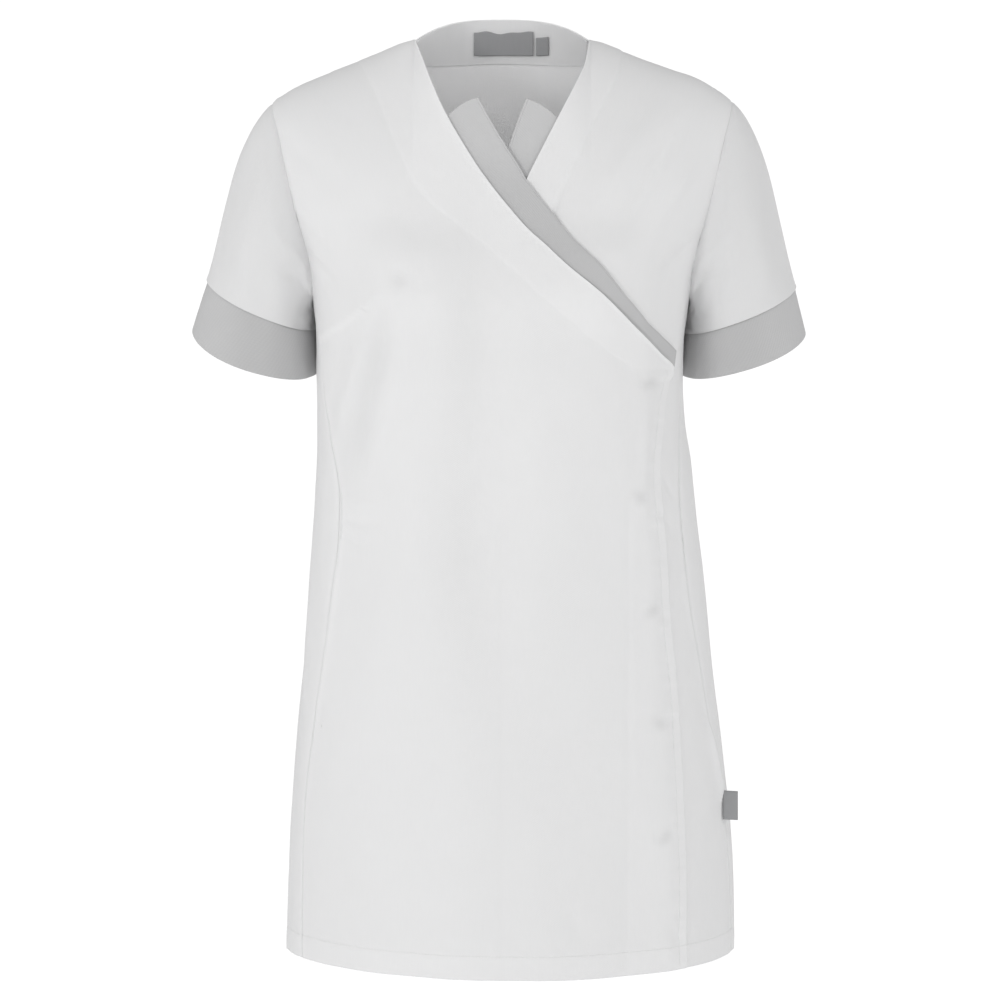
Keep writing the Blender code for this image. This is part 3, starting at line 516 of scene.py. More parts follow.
def noise(u, v, seed, sizes):
    """A smooth uneven surface between about -1 and 1, made of waves of these lengths (across, along)."""
    rng = np.random.default_rng(seed)
    total = 0.0
    for across, along in sizes:
        for _ in range(3):
            phase, lean, one, two = rng.random(4)
            turn = (lean - 0.5) * 0.9
            uu = u * math.cos(turn) + v * math.sin(turn) * 0.4
            vv = v * math.cos(turn) - u * math.sin(turn) * 0.4
            bend = 1.3 * np.sin(2 * math.pi * (vv / (along * (0.8 + 0.5 * two)) + lean))
            total = total + np.sin(2 * math.pi * (uu / (across * (0.8 + 0.5 * one)) + phase) + bend)
    return total / (3 * len(sizes))


def folded(rows, u, v, to_u=1.0, to_v=1.0, to_depth=MM):
    """The height of a table of folds at places (u, v) on the cloth."""
    total = np.zeros_like(u)
    for number, fold in enumerate(rows):
        u_1, v_1 = fold.u_1 * to_u, fold.v_1 * to_v
        run_u, run_v = fold.u_2 * to_u - u_1, fold.v_2 * to_v - v_1
        length = math.hypot(run_u, run_v)
        along = ((u - u_1) * run_u + (v - v_1) * run_v) / length**2
        across = ((u - u_1) * run_v - (v - v_1) * run_u) / length
        across = across + fold.width * 0.12 * np.sin(along * 5.0 + number)
        fade = ease(along / 0.45 + 0.15) * ease((1 - along) / 0.45 + 0.15)
        width = fold.width * (0.8 + 0.35 * np.clip(along, 0, 1))
        total += fold.depth * to_depth * fade * peak(across, width) * (1 + 0.25 * across / width)
    return total


def body_relief(angle, z):
    """The folds and the slight unevenness of the cloth all round the body."""
    around = np.where(angle < -90, angle + 360, angle)
    front = [
        fold._replace(u_1=float(angle_at(fold.u_1, fold.v_1)), u_2=float(angle_at(fold.u_2, fold.v_2)))
        for fold in FRONT_FOLDS
    ]
    relief = np.zeros_like(angle * z)
    for turn in (0, -360):
        relief += folded([*BODY_FOLDS, *front], (around + turn) * METRES_PER_DEGREE, z, METRES_PER_DEGREE)
    relief *= FOLD_STRENGTH
    u = angle * METRES_PER_DEGREE
    relief += 0.8 * MM * noise(u, z, 3, ((0.080, 0.30), (0.050, 0.22)))
    relief += 0.22 * MM * noise(u, z, 8, ((0.024, 0.06), (0.033, 0.09)))
    # it fades out towards the shoulders
    return relief * ease((ridge(0.15) + 0.035 - z) / 0.05 + 0.3)


# ---------------------------------------------------------------- cloth pieces


def row_places(lengths, start, end, step):
    """For each row's length, the places of its columns: as listed at both ends, and even between."""
    start, end = np.array(start) * MM, np.array(end) * MM
    count = max(int(round((max(lengths) - start[-1] - end[-1]) / step)), 2)
    t = np.linspace(0, 1, count + 1)[1:-1]
    rows = []
    for length in lengths:
        middle = start[-1] + (length - start[-1] - end[-1]) * t
        rows.append(np.concatenate([start, middle, (length - end)[::-1]]))
    return np.array(rows)


def grid_normals(points, ring=False):
    if ring:
        wide = np.concatenate([points[:, -1:], points, points[:, :1]], axis=1)
        across = (wide[:, 2:] - wide[:, :-2]) / 2
    else:
        across = np.gradient(points, axis=1)
    return unit(np.cross(np.gradient(points, axis=0), across))


def hem_sag(angle):
    """How far the hem hangs below its level: most at the front's left half, none at the sides and back."""
    turn = np.radians(angle)
    return FRONT_SAG * ease(np.cos(turn)) + LEFT_SAG * ease(np.sin(2 * turn)) * (np.abs(angle) < 90)


class Cloth:
    """A grid of points on the form, with distances in from each of its four edges."""

    def __init__(self, start_angle, end_angle, reach, end=ROUNDED, step=STEP):
        share = np.linspace(0, 1, COARSE_COLUMNS)
        coarse = start_angle[:, None] + (end_angle - start_angle)[:, None] * share
        points = form(coarse, reach[:, None] * np.ones_like(share))
        run = np.linalg.norm(np.diff(points, axis=1), axis=2)
        run = np.concatenate([np.zeros((len(reach), 1)), np.cumsum(run, axis=1)], axis=1)
        places = row_places(run[:, -1], ROUNDED, end, step)
        self.angle = np.array([np.interp(*row) for row in zip(places, run, coarse)])
        self.reach = reach[:, None] * np.ones_like(self.angle)
        self.from_start, self.from_end = places, run[:, -1:] - places
        self.settle()

    def settle(self):
        """Everything that follows from the grid's angles and reaches."""
        self.base = form(self.angle, self.reach)
        self.normal = normal_at(self.angle, self.reach)
        self.x, self.z = self.base[..., 0], self.base[..., 2]
        down = np.linalg.norm(np.diff(self.base, axis=0), axis=2)
        down = np.concatenate([np.zeros((1, down.shape[1])), np.cumsum(down, axis=0)])
        self.from_top, self.from_bottom = down, down[-1] - down
        self.lift = np.zeros_like(self.x)
        self.tone = np.ones_like(self.x)
        self.groove = np.ones_like(self.x)

    def nearest_edge(self):
        return np.minimum.reduce([self.from_start, self.from_end, self.from_top, self.from_bottom])

    def line(self, x1, z1, x2, z2):
        """How far each point is from a line seen from the front, and its share of the way along it."""
        run_x, run_z = x2 - x1, z2 - z1
        t = np.clip(((self.x - x1) * run_x + (self.z - z1) * run_z) / (run_x**2 + run_z**2), 0, 1)
        return np.hypot(self.x - x1 - t * run_x, self.z - z1 - t * run_z), t

    def mark(self, x, z, radius, lift, painted_shade=0.0):
        """A round dent or swelling, its lift in mm, with its painted shade."""
        spot = peak(np.hypot(self.x - x, self.z - z), radius)
        self.lift += lift * MM * spot
        self.tone -= painted_shade * spot

    def stitch(self, distance, where=True):
        """Notes the distance from a line of stitches, along which the material draws a groove with painted
        shade in it.
        """
        self.groove = np.where(where, np.minimum(self.groove, distance), self.groove)

    def crease_along(self, distance, seed, reach, length):
        """Small puckers that a line of sewing draws into the cloth, across it."""
        along = self.z + self.angle * METRES_PER_DEGREE
        wave = noise(along, distance * 0.3, seed, ((length, 0.05), (length * 1.7, 0.06)))
        self.lift += PUCKER * wave * peak(distance, reach)

    def faced(self):
        """The lifted surface, its outward normals, and whether its grid runs the other way round."""
        points = self.base + self.normal * self.lift[..., None]
        points[..., 2] -= hem_sag(self.angle) * ease((SAG_START - self.z) / (SAG_START - HEM))
        normals = grid_normals(points)
        turned = (normals * self.normal).sum() < 0
        return points, -normals if turned else normals, turned


def add_piece(name, mesh, finish):
    mesh.materials.append(finish)
    mesh.shade_smooth()
    obj = bpy.data.objects.new(name, mesh)
    bpy.context.scene.collection.objects.link(obj)
    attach(obj, "root")
    return obj


def build(name, solid, outer, inner, uv, finish, tone=1.0, groove=1.0, ring=False, turned=False, inside=1.0):
    """A closed shell between two grids in place of a solid, with the cloth's flat coordinates in metres."""
    even = np.ones(outer.shape[:2])
    grids = [outer, inner, uv, even * tone, even * groove]
    outer, inner, uv, tone, groove = [grid[:, ::-1] for grid in grids] if turned else grids
    count = even.size
    index = np.arange(count).reshape(even.shape)
    if ring:
        index = np.concatenate([index, index[:, :1]], axis=1)
    a, b, c, d = index[:-1, :-1], index[:-1, 1:], index[1:, 1:], index[1:, :-1]
    faces = [np.stack([a, d, c, b], -1).reshape(-1, 4), np.stack([a, b, c, d], -1).reshape(-1, 4) + count]
    rims = [(index[0], False), (index[-1], True)]
    if not ring:
        rims += [(index[:, 0], True), (index[:, -1], False)]
    for line, flip in rims:
        rim = np.stack([line[:-1], line[1:], line[1:] + count, line[:-1] + count], -1)
        faces.append(rim[:, ::-1] if flip else rim)
    points = np.concatenate([outer.reshape(-1, 3), inner.reshape(-1, 3)])
    mesh = bpy.data.meshes.new(name)
    mesh.from_pydata(points.tolist(), [], np.concatenate(faces).tolist())
    flat = np.concatenate([uv.reshape(-1, 2)] * 2)
    corners = np.empty(len(mesh.loops), dtype=np.int32)
    mesh.loops.foreach_get("vertex_index", corners)
    mesh.uv_layers.new(name="cloth").data.foreach_set("uv", flat[corners].astype(np.float32).ravel())
    # the inner face's tone is multiplied by inside: painted light for the shaded inside of the garment
    for label, values, factor in (("tone", tone, inside), ("groove", groove, 1.0)):
        both = np.concatenate([values.ravel(), values.ravel() * factor]).astype(np.float32)
        mesh.attributes.new(label, "FLOAT", "POINT").data.foreach_set("value", both)
    obj = add_piece(name, mesh, finish)
    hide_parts(solid)
    return obj


def rounding(distance, thickness):
    """How far both faces draw together at this distance from an edge, to round it off."""
    share = np.minimum(distance / (thickness / 2), 1.0)
    return (thickness / 2 * (1 - np.sqrt(1 - (1 - share) ** 2)))[..., None]


def shell(name, solid, cloth, finish, thickness=CLOTH, sink=0.0, inside=1.0):
    centre, normals, turned = cloth.faced()
    drawn = rounding(cloth.nearest_edge(), thickness)
    uv = np.stack([cloth.angle * METRES_PER_DEGREE, cloth.z], -1)
    outer, inner = centre - normals * (sink + drawn), centre - normals * (sink + thickness - drawn)
    looks = finish, cloth.tone, cloth.groove
    return build(name, solid, outer, inner, uv, *looks, turned=turned, inside=inside)


def body_reaches(first, step=STEP):
    """The rows of a body piece, from one reach down to the hem."""
    top = np.array([0, 0.0008, 0.0025, 0.006, 0.012]) + first
    upper = np.arange(first + 0.020, 1.0, 0.0088)
    floor = max(first + 0.014, 1.0)
    tail = level_reach(HEM) - np.array(HEM_EDGE)[::-1] * MM / LEVEL_UNIT
    middle = np.linspace(floor, tail[0], int((tail[0] - floor) * LEVEL_UNIT / step), endpoint=False)
    return np.concatenate([top, upper, middle, tail])


def sew_hem(cloth, seed):
    """The hem: a double fold held by a line of stitches, which draws the cloth in a little."""
    line = cloth.from_bottom - HEM_STITCH * MM
    cloth.stitch(np.abs(line) + 0.55 * MM)
    cloth.lift -= 0.16 * MM * peak(line, 1.2 * MM)
    cloth.lift += 0.15 * MM * ease(-line / (2 * MM))
    cloth.crease_along(line, seed, 10 * MM, 0.010)
    cloth.tone *= 1 + 0.014 * ease(-line / MM)


def sew_seam(cloth, distance, seed, sink=None):
    """A seam's edge: the cloth turns in, less at an armhole, and small puckers stand along it."""
    if sink is None:
        sink = (0.10 + 0.42 * ease((-0.240 - cloth.z) / 0.02)) * MM
    cloth.lift -= sink * peak(distance, 1.5 * MM)
    cloth.crease_along(distance, seed, 8 * MM, 0.011)
    # below the armhole a dark line of painted shade lies along the seam, with a lighter line of painted
    # highlight beside it
    lower = ease((-0.290 - cloth.z) / 0.05)
    cloth.tone -= 0.075 * peak(distance, 1.1 * MM) * lower
    cloth.tone += 0.022 * peak(distance - 4.5 * MM, 2.4 * MM) * lower


def front_lift(side, x, z):
    """How far the right front, which lies over the left one, stands off the form."""
    if side == LEFT:
        return np.zeros_like(x)
    lift = OVERLAP_LIFT * ease((x - LIFT_START) / (LIFT_END - LIFT_START))
    lift = lift * ease((ridge(x) - z) / LIFT_BELOW_RIDGE)
    free = curve(OVER_EDGE, "across", z)
    pinch = EDGE_PINCH * ease(1 - (free - x) / PINCH_WIDTH) * ease((OVERLAP_TIP - z) / PINCH_START - 1)
    return lift - np.where(z < OVERLAP_TIP, pinch, 0.0)


def over_front(finish):
    reach = body_reaches(0.0)
    start, end = -side_angle("right_front", reach), edge_angle(OVER_EDGE, reach)
    cloth = Cloth(start, end, reach, STITCHED, FRONT_STEP)
    x, z, start, free = cloth.x, cloth.z, cloth.from_start, cloth.from_end
    cloth.lift = front_lift(RIGHT, x, z) + body_relief(cloth.angle, z)
    below = ease((OVERLAP_TIP - z) / 0.004)
    # the stitched dart stands up softly with a painted highlight along it, and a dimple with painted shade
    # lies beyond it
    distance, _ = cloth.line(*DART_START, *DART_END)
    cloth.lift += 0.9 * MM * peak(distance, 3.2 * MM)
    cloth.tone += 0.045 * peak(distance, 3.0 * MM)
    distance, along = cloth.line(*DART_END, *DART_FADE)
    cloth.lift += 0.6 * MM * peak(distance, 4.0 * MM) * (1 - 0.6 * along)
    for mark in DART_MARKS:
        cloth.mark(*mark)
    # painted shade and painted highlight along the folds of the front
    cloth.tone += folded(FRONT_PAINTED_SHADES, x, z, to_depth=1.0)
    # the snaps press into the cloth, with painted shade in their dents and beside them
    for number, snap in enumerate(SNAPS):
        tilt = 0.004 * (-1) ** number
        for across, up, *looks in SNAP_MARKS:
            cloth.mark(snap.across + across, snap.height + up, *looks)
        cloth.mark(snap.across - 0.006, snap.height - tilt, 0.0040, 0.0, 0.04)
        if number in THREAD_MARKED_SNAPS:
            place = snap.across - 0.0115
            distance, _ = cloth.line(place, snap.height - 0.004, place, snap.height + 0.006)
            cloth.tone -= 0.035 * peak(distance, 1.1 * MM)
        distance, _ = cloth.line(snap.across - 0.022, snap.height + tilt, snap.across - 0.004, snap.height)
        cloth.lift -= 0.30 * MM * peak(distance, 2.2 * MM)
    # the rolled neckline, the topstitched overlap and the inner edge of the placket
    cloth.lift += 0.8 * MM * peak(free, 3.0 * MM) * (1 - below)
    # painted highlight along the rolled neckline
    cloth.tone += 0.06 * peak(free, 0.9 * MM) * (1 - below)
    stitch = np.abs(free - OVERLAP_STITCH * MM)
    cloth.stitch(stitch + 0.5 * MM, below > 0.5)
    cloth.lift -= 0.14 * MM * peak(stitch, 1.6 * MM) * below
    gathered = noise(z, free * 0.4, 21, ((0.011, 0.05), (0.018, 0.05)))
    gathered *= peak(free - 10 * MM, 9 * MM) * below
    cloth.lift += 0.65 * MM * gathered
    # painted light and shade that follow the gathers, and painted light near the overlap's edge
    cloth.tone += 0.020 * gathered
    cloth.tone *= 1 + 0.028 * ease(1 - (free - 0.004) / PINCH_WIDTH) * below
    placket = x - PLACKET_LINE
    band = ease((PLACKET_TOP - z) / 0.02)
    cloth.lift += (0.35 * MM * ease(placket / (4 * MM)) - 0.25 * MM * peak(placket, 2.5 * MM)) * band
    cloth.tone *= 1 + 0.008 * ease(placket / (3 * MM)) * band
    # the facing shows through beside the neckline
    facing = (OVER_FACING_WIDTH - free) / (1.5 * MM)
    cloth.tone *= 1 + 0.024 * ease(facing) * (1 - below)
    cloth.lift += 0.30 * MM * ease(facing / 3) * (1 - below)
    # the faint line where the under front ends beneath
    middle = peak(x + 0.001, 3 * MM) * ease((-0.39 - z) / 0.05)
    cloth.lift -= 0.35 * MM * middle
    cloth.tone -= 0.008 * middle
    # the pocket's mouth stands open a little, between its bar tacks
    cloth.lift += 0.9 * MM * between(z, RIGHT_MOUTH_FLOOR, POCKET_MOUTH_TOP) * peak(start, 7 * MM)
    cloth.lift += 0.5 * MM * peak(start - BAR_FROM_SEAM, 2.5 * MM)
    cloth.stitch(np.abs(start - BAR_FROM_SEAM) + 0.2 * MM, (z < BAR_TOP) & (z > BAR_FLOOR))
    sew_seam(cloth, start, 11)
    sew_seam(cloth, cloth.from_top, 12, 0.3 * MM)
    sew_hem(cloth, 13)
    return shell("over_front", "front_right", cloth, finish), cloth


def pocket_gape(z):
    """Where the mouth of the left pocket gapes, near its lower end."""
    return between(z, GAPE_FLOOR, GAPE_TOP, 0.025)


def under_front(finish):
    reach = body_reaches(0.0)
    cloth = Cloth(side_angle("left_front", reach), edge_angle(UNDER_EDGE, reach), reach, step=FRONT_STEP)
    z, free = cloth.z, cloth.from_end
    cloth.lift = body_relief(cloth.angle, z)
    # the facing's edge and the rolled neckline, and the notch between them
    above = ease((z - UNDER_FACING_FLOOR) / 0.01)
    line = (free - UNDER_FACING_WIDTH) / (2.0 * MM)
    cloth.tone *= 1 + 0.018 * ease(-line) * above
    cloth.lift += (0.55 * MM * ease(-line / 2) - 0.35 * MM * peak(line, 1)) * above
    cloth.mark(*NOTCH, 0.006, -1.3)
    distance, along = cloth.line(*NOTCH_FOLD)
    # painted shade along the fold from the notch
    cloth.tone -= 0.070 * peak(distance, 1.5 * MM) * (1 - along)
    cloth.lift += 0.6 * MM * peak(free, 2.5 * MM) * above
    # painted highlight along the rolled neckline
    cloth.tone += 0.05 * peak(free, 0.9 * MM) * above
    mouth = between(z, LEFT_MOUTH_FLOOR, POCKET_MOUTH_TOP)
    cloth.lift += (3.4 * MM * pocket_gape(z) + 0.7 * MM * mouth) * peak(cloth.from_start, 8 * MM)
    sew_seam(cloth, cloth.from_start, 14)
    sew_seam(cloth, cloth.from_top, 15, 0.3 * MM)
    sew_hem(cloth, 16)
    return shell("under_front", "front_left", cloth, finish), cloth


def side_panel(side, finish, seed):
    name = SIDE_NAMES[side]
    reach = body_reaches(FRONT_JOIN_REACH + 0.001)
    cloth = Cloth(side_angle(f"{name}_front", reach), side_angle("back", reach), reach)
    # its top follows the floor of the armhole
    t = cloth.from_start / (cloth.from_start + cloth.from_end)
    dip = (1 - (2 * t - 1) ** 2) * (1 - FRONT_JOIN_REACH)
    cloth.reach = cloth.reach + dip * np.clip(1 - (cloth.reach - reach[0]) / 0.08, 0, 1)
    cloth.angle = cloth.angle * side
    cloth.settle()
    cloth.lift = body_relief(cloth.angle, cloth.z)
    if side == LEFT:
        cloth.lift -= 2.6 * MM * pocket_gape(cloth.z) * peak(cloth.from_start, 10 * MM)
    sew_seam(cloth, cloth.from_start, seed)
    sew_seam(cloth, cloth.from_end, seed + 1)
    sew_seam(cloth, cloth.from_top, seed + 2, 0.2 * MM)
    sew_hem(cloth, seed + 3)
    return shell(f"side_cloth_{name}", f"side_{name}", cloth, finish), cloth


def back_top(share):
    """The chart place of the back's top edge: a shoulder, the neck and a shoulder."""
    shoulder = 90 + ARMHOLE_SPREAD
    x = np.linspace(1, -1, 401) * NECK_HALF_WIDTH
    z = neck_height(x)
    angles = np.concatenate([[shoulder], angle_at(x, z, True), [360 - shoulder]])
    reaches = np.concatenate([[0.0], reach_at(x, z), [0.0]])
    at = (angles - shoulder) / (360 - 2 * shoulder)
    return np.interp(share, at, reaches)


def back_panel(finish):
    """The back. Its rows bend from its top edge to the armholes' level."""
    reach = body_reaches(0.0, BACK_STEP)
    start = side_angle("back", reach)
    cloth = Cloth(start, 360 - start, reach, step=BACK_STEP)
    share = (cloth.angle - start[:, None]) / (360 - 2 * start)[:, None]
    cloth.reach = cloth.reach + back_top(share) * np.clip(1 - cloth.reach / BACK_JOIN_REACH, 0, 1)
    cloth.settle()
    cloth.lift = body_relief(cloth.angle, cloth.z)
    sew_seam(cloth, cloth.from_start, 31)
    sew_seam(cloth, cloth.from_end, 32)
    sew_seam(cloth, cloth.from_top, 33, 0.2 * MM)
    neck = ease((0.085 - np.abs(cloth.x)) / 0.008)
    cloth.stitch(np.abs(cloth.from_top - NECK_STITCH), neck > 0.5)
    cloth.lift += 0.3 * MM * peak(cloth.from_top, 2.5 * MM) * neck
    sew_hem(cloth, 34)
    # its inside face carries painted light, where the inside of the neck lies in shade
    return shell("back_panel", "back", cloth, finish, inside=1.26), cloth


def neck_band(side, front_edge, shown_edge, end, finish, seed):
    """A contrast band, from just inside its front's edge to where it ends."""
    name = SIDE_NAMES[side]
    close = np.array([0, 0.0005, 0.0015, 0.003])
    even = np.linspace(BAND_TOP_REACH, end, BAND_ROWS)[1:-1]
    reach = np.concatenate([BAND_TOP_REACH + close, even, end - close[::-1]])
    # a row at each corner of the shown edge, and none close beside it
    x, z = np.array([row.across for row in shown_edge]), np.array([row.height for row in shown_edge])
    corners = reach_at(x, z)
    inside = corners[(corners > BAND_TOP_REACH + 0.004) & (corners < end - 0.004)]
    reach = np.array([r for r in reach if np.abs(inside - r).min() > 0.0015])
    reach = np.unique(np.concatenate([reach, inside]))
    free, shown = edge_angle(front_edge, reach), np.interp(reach, corners, angle_at(x, z))
    shown = np.where(side * (free - shown) > 0.4, shown, free - side * 0.4)
    cloth = Cloth(free + side * BAND_TUCK, shown, reach, step=BAND_STEP)
    x, z = cloth.x, cloth.z
    cloth.lift = body_relief(cloth.angle, z) + front_lift(side, x, z)
    cloth.lift += 0.25 * MM * noise(z, x, seed, ((0.05, 0.05), (0.03, 0.04)))
    cloth.lift -= 0.8 * MM * peak(cloth.from_start - BAND_TUCK * METRES_PER_DEGREE, 3.0 * MM)
    cloth.stitch(np.abs(cloth.from_end - 2.0 * MM) + 0.4 * MM)
    # painted light on the band's upper part, inside the shaded neck opening
    cloth.tone *= 1.02 + 0.10 * ease((z + 0.150) / 0.055)
    return shell(f"band_cloth_{name}", f"neck_band_{name}", cloth, finish, TRIM, LAYER_SINK)


def pocket_bag(side, finish):
    """A pocket bag, which hangs behind its front from the side seam inwards."""
    name = SIDE_NAMES[side]
    reach = np.linspace(level_reach(POCKET_BAG_TOP), level_reach(POCKET_BAG_FLOOR), BAG_ROWS)
    start = side * side_angle(f"{name}_front", reach)
    cloth = Cloth(start, start - side * POCKET_BAG_SPREAD, reach, step=LINING_STEP)
    cloth.lift = front_lift(side, cloth.x, cloth.z) + body_relief(cloth.angle, cloth.z) - 0.5 * MM
    return shell(f"bag_cloth_{name}", f"pocket_bag_{name}", cloth, finish, LINING, CLOTH + SEAM_GAP)


# ---------------------------------------------------------------- sleeves


def ring_point(ring, turn, side):
    outer = np.array([side * ring.outer_x, SLEEVE_CENTRE_Y, ring.outer_z])
    inner = np.array([side * ring.inner_x, SLEEVE_CENTRE_Y, ring.inner_z])
    forwards = np.array([0.0, -ring.depth, -ring.front_drop])
    cosine, sine = np.cos(turn)[..., None], np.sin(turn)[..., None]
    power = np.where(cosine < 0, RING_INNER_POWER, 1.0)
    across, along = signed_power(cosine, power), signed_power(sine, power)
    back = RING_BACK * np.minimum(cosine, 0.0) ** 2 * np.array([0, 1, 0])
    return (outer + inner) / 2 + (outer - inner) / 2 * across + forwards * along + back


def round_sleeve(turn, end, side):
    across, along = np.cos(turn)[..., None], np.sin(turn)[..., None]
    total = 0.0
    for handles, way in (
        (SLEEVE_TOP, across), (SLEEVE_FRONT, along), (SLEEVE_UNDER, -across), (SLEEVE_BACK, -along),
    ):
        total = total + np.array(getattr(handles, end)) * np.maximum(way, 0) ** 2
    return total * np.array([side, 1, 1])


def armhole_place(turn, side):
    """The chart place where the sleeve leaves the body."""
    return side * (90 - ARMHOLE_SPREAD * np.cos(turn / 2)), np.abs(np.sin(turn / 2))


def sleeve_point(turn, share, side):
    start, end = form(*armhole_place(turn, side)), ring_point(CUFF_LINES[side], turn, side)
    one, two = start + round_sleeve(turn, "leave", side), end - round_sleeve(turn, "arrive", side)
    s, t = (1 - share)[..., None], share[..., None]
    return start * s**3 + one * 3 * s * s * t + two * 3 * s * t * t + end * t**3


def sleeve_folds(rows, turn, share, to_depth=MM):
    u, v = np.degrees(turn) % 360 * METRES_PER_TURN_DEGREE, share * SLEEVE_LENGTH
    return folded(rows, u, v, METRES_PER_TURN_DEGREE, SLEEVE_LENGTH, to_depth)


def sleeve_relief(turn, share, seed):
    """The folds of a sleeve, less where the cuff's seam holds it."""
    v = share * SLEEVE_LENGTH + np.cos(turn) * 0.06
    relief = sleeve_folds(SLEEVE_FOLDS, turn, share)
    relief += 0.5 * MM * noise(np.sin(turn) * 0.06, v, seed, ((0.06, 0.16), (0.035, 0.10)))
    return relief * (0.35 + 0.65 * ease((1 - share) * SLEEVE_LENGTH / 0.03))


def arm_shell(name, solid, side, surface, thickness, from_edge, down, finish, tone, groove=1.0):
    """A closed tube of cloth round the arm, rounded off at its ends."""
    normals = -grid_normals(surface, ring=True) * side
    drawn = rounding(from_edge, thickness)
    outer, inner = surface - normals * drawn, surface - normals * (thickness - drawn)
    uv = np.stack([ARM_TURN * SLEEVE_RADIUS * side * np.ones_like(down), -down], -1)
    return build(name, solid, outer, inner, uv, finish, tone, groove, ring=True, turned=side == LEFT)


def sleeve(side, finish, seed):
    ends = np.array(ROUNDED) * MM / SLEEVE_LENGTH
    share = np.concatenate([ends, np.linspace(ends[-1], 1 - ends[-1], SLEEVE_ROWS)[1:-1], (1 - ends)[::-1]])
    turns, shares = np.meshgrid(ARM_TURN, share)
    base = sleeve_point(turns, shares, side)
    # the seam allowance: a few rows that run on under the body's edge, except below the arm
    angle, reach = armhole_place(ARM_TURN, side)
    rim, face = base[0], normal_at(angle, reach)
    inward = unit(np.cross(face, np.roll(rim, -1, 0) - np.roll(rim, 1, 0)))
    inward *= np.sign((inward * (rim - rim.mean(0))).sum())
    leaves = -(unit(base[5] - rim) * inward).sum(-1)
    under = ease((leaves - 0.1) / 0.5)
    tucked = np.array([3.0, 2.0, 1.0, 0.4])[:, None] * MM * np.maximum(under, 0.12)
    base = np.concatenate([rim + inward * tucked[..., None], base])
    normals = -grid_normals(base, ring=True) * side
    normals[:5] = unit(face * under[:, None] + normals[:5] * (1 - under[:, None]))
    turns, shares = np.concatenate([turns[:4], turns]), np.concatenate([np.zeros_like(tucked), shares])
    top, bottom = shares * SLEEVE_LENGTH, (1 - shares) * SLEEVE_LENGTH
    lift = sleeve_relief(turns, shares, seed) * ease(top / 0.02)
    lift += body_relief(angle, form(angle, reach)[..., 2]) * (1 - ease(top / 0.045))
    lift -= SEAM_STEP * under * (1 - ease(top / 0.006))
    puckers = noise(turns * SLEEVE_RADIUS, top * 0.3, seed + 1, ((0.012, 0.05), (0.019, 0.05)))
    lift += 0.25 * MM * puckers * peak(top, 0.008)
    lift += 0.30 * MM * peak(bottom, 2.5 * MM)
    # painted shade makes it darker in front, and painted light makes it lighter on the side towards the body,
    # where the body shades it
    tone = 1 - 0.080 * np.maximum(np.sin(turns), 0) + 0.12 * ease(-np.cos(turns) * 1.6 - 0.6)
    # painted shade along the folds under the arm
    tone += sleeve_folds(SLEEVE_PAINTED_SHADES, turns, shares, 1.0)
    from_end = top + np.concatenate([tucked[0] - tucked, np.ones_like(shares[4:]) * tucked[0]])
    return arm_shell(f"sleeve_cloth_{SIDE_NAMES[side]}", f"sleeve_{SIDE_NAMES[side]}", side,
                     base + normals * lift[..., None], CLOTH, np.minimum(from_end, bottom), top, finish, tone)


def cuff(side, finish, seed):
    """The cuff. It starts a little way up inside the sleeve's end, against its inner face."""
    line, hem = ring_point(CUFF_LINES[side], ARM_TURN, side), ring_point(SLEEVE_HEMS[side], ARM_TURN, side)
    tucked = np.array([-10.0, -7.5, -5.0, -2.5]) * MM
    down = np.concatenate([ROUNDED, np.linspace(7, 38, 13), CUFF_LENGTH / MM - np.array(ROUNDED)[::-1]]) * MM
    above = sleeve_point(*np.meshgrid(ARM_TURN, 1 + tucked / SLEEVE_LENGTH), side)
    points = np.concatenate([above, line + (hem - line) * (down / CUFF_LENGTH)[:, None, None]])
    normals = -grid_normals(points, ring=True) * side
    turns, down = np.meshgrid(ARM_TURN, np.concatenate([tucked, down]))
    end = CUFF_LENGTH - down
    lift = -(CLOTH + SEAM_GAP) * (1 - np.clip(down / CUFF_LENGTH, 0, 1))
    near_end = np.minimum(1 + down / SLEEVE_LENGTH, 1.0)
    lift += sleeve_relief(turns, near_end, seed) * (1 + 0.3 * ease(down / 0.03))
    lift += 0.30 * MM * noise(turns * SLEEVE_RADIUS, down, seed + 5, ((0.07, 0.05), (0.04, 0.04)))
    # painted light on the cuff's outer side, and on the side towards the body, where the body shades it
    tone = 0.945 + 0.14 * ease(np.cos(turns)) + 0.17 * ease(-np.cos(turns) * 1.3 - 0.3)
    return arm_shell(f"cuff_cloth_{SIDE_NAMES[side]}", f"cuff_{SIDE_NAMES[side]}", side,
                     points + normals * lift[..., None], CUFF_CLOTH, np.minimum(down + 0.010, end), down,
                     finish, tone, np.abs(end - 1.2 * MM) + 0.5 * MM)


# ---------------------------------------------------------------- small pieces


def strip(name, solid, x, z, depth, finish, thickness=LABEL):
    """A facing or label at places on the back, sunk below the form by a depth."""
    angle, reach = angle_at(x, z, True), reach_at(x, z)
    normal = normal_at(angle, reach)
    outer = form(angle, reach) - normal * depth[..., None]
    # its inner face carries painted light, where the inside of the neck lies in shade
    return build(name, solid, outer, outer - normal * thickness, np.stack([x, z], -1), finish, inside=1.12)


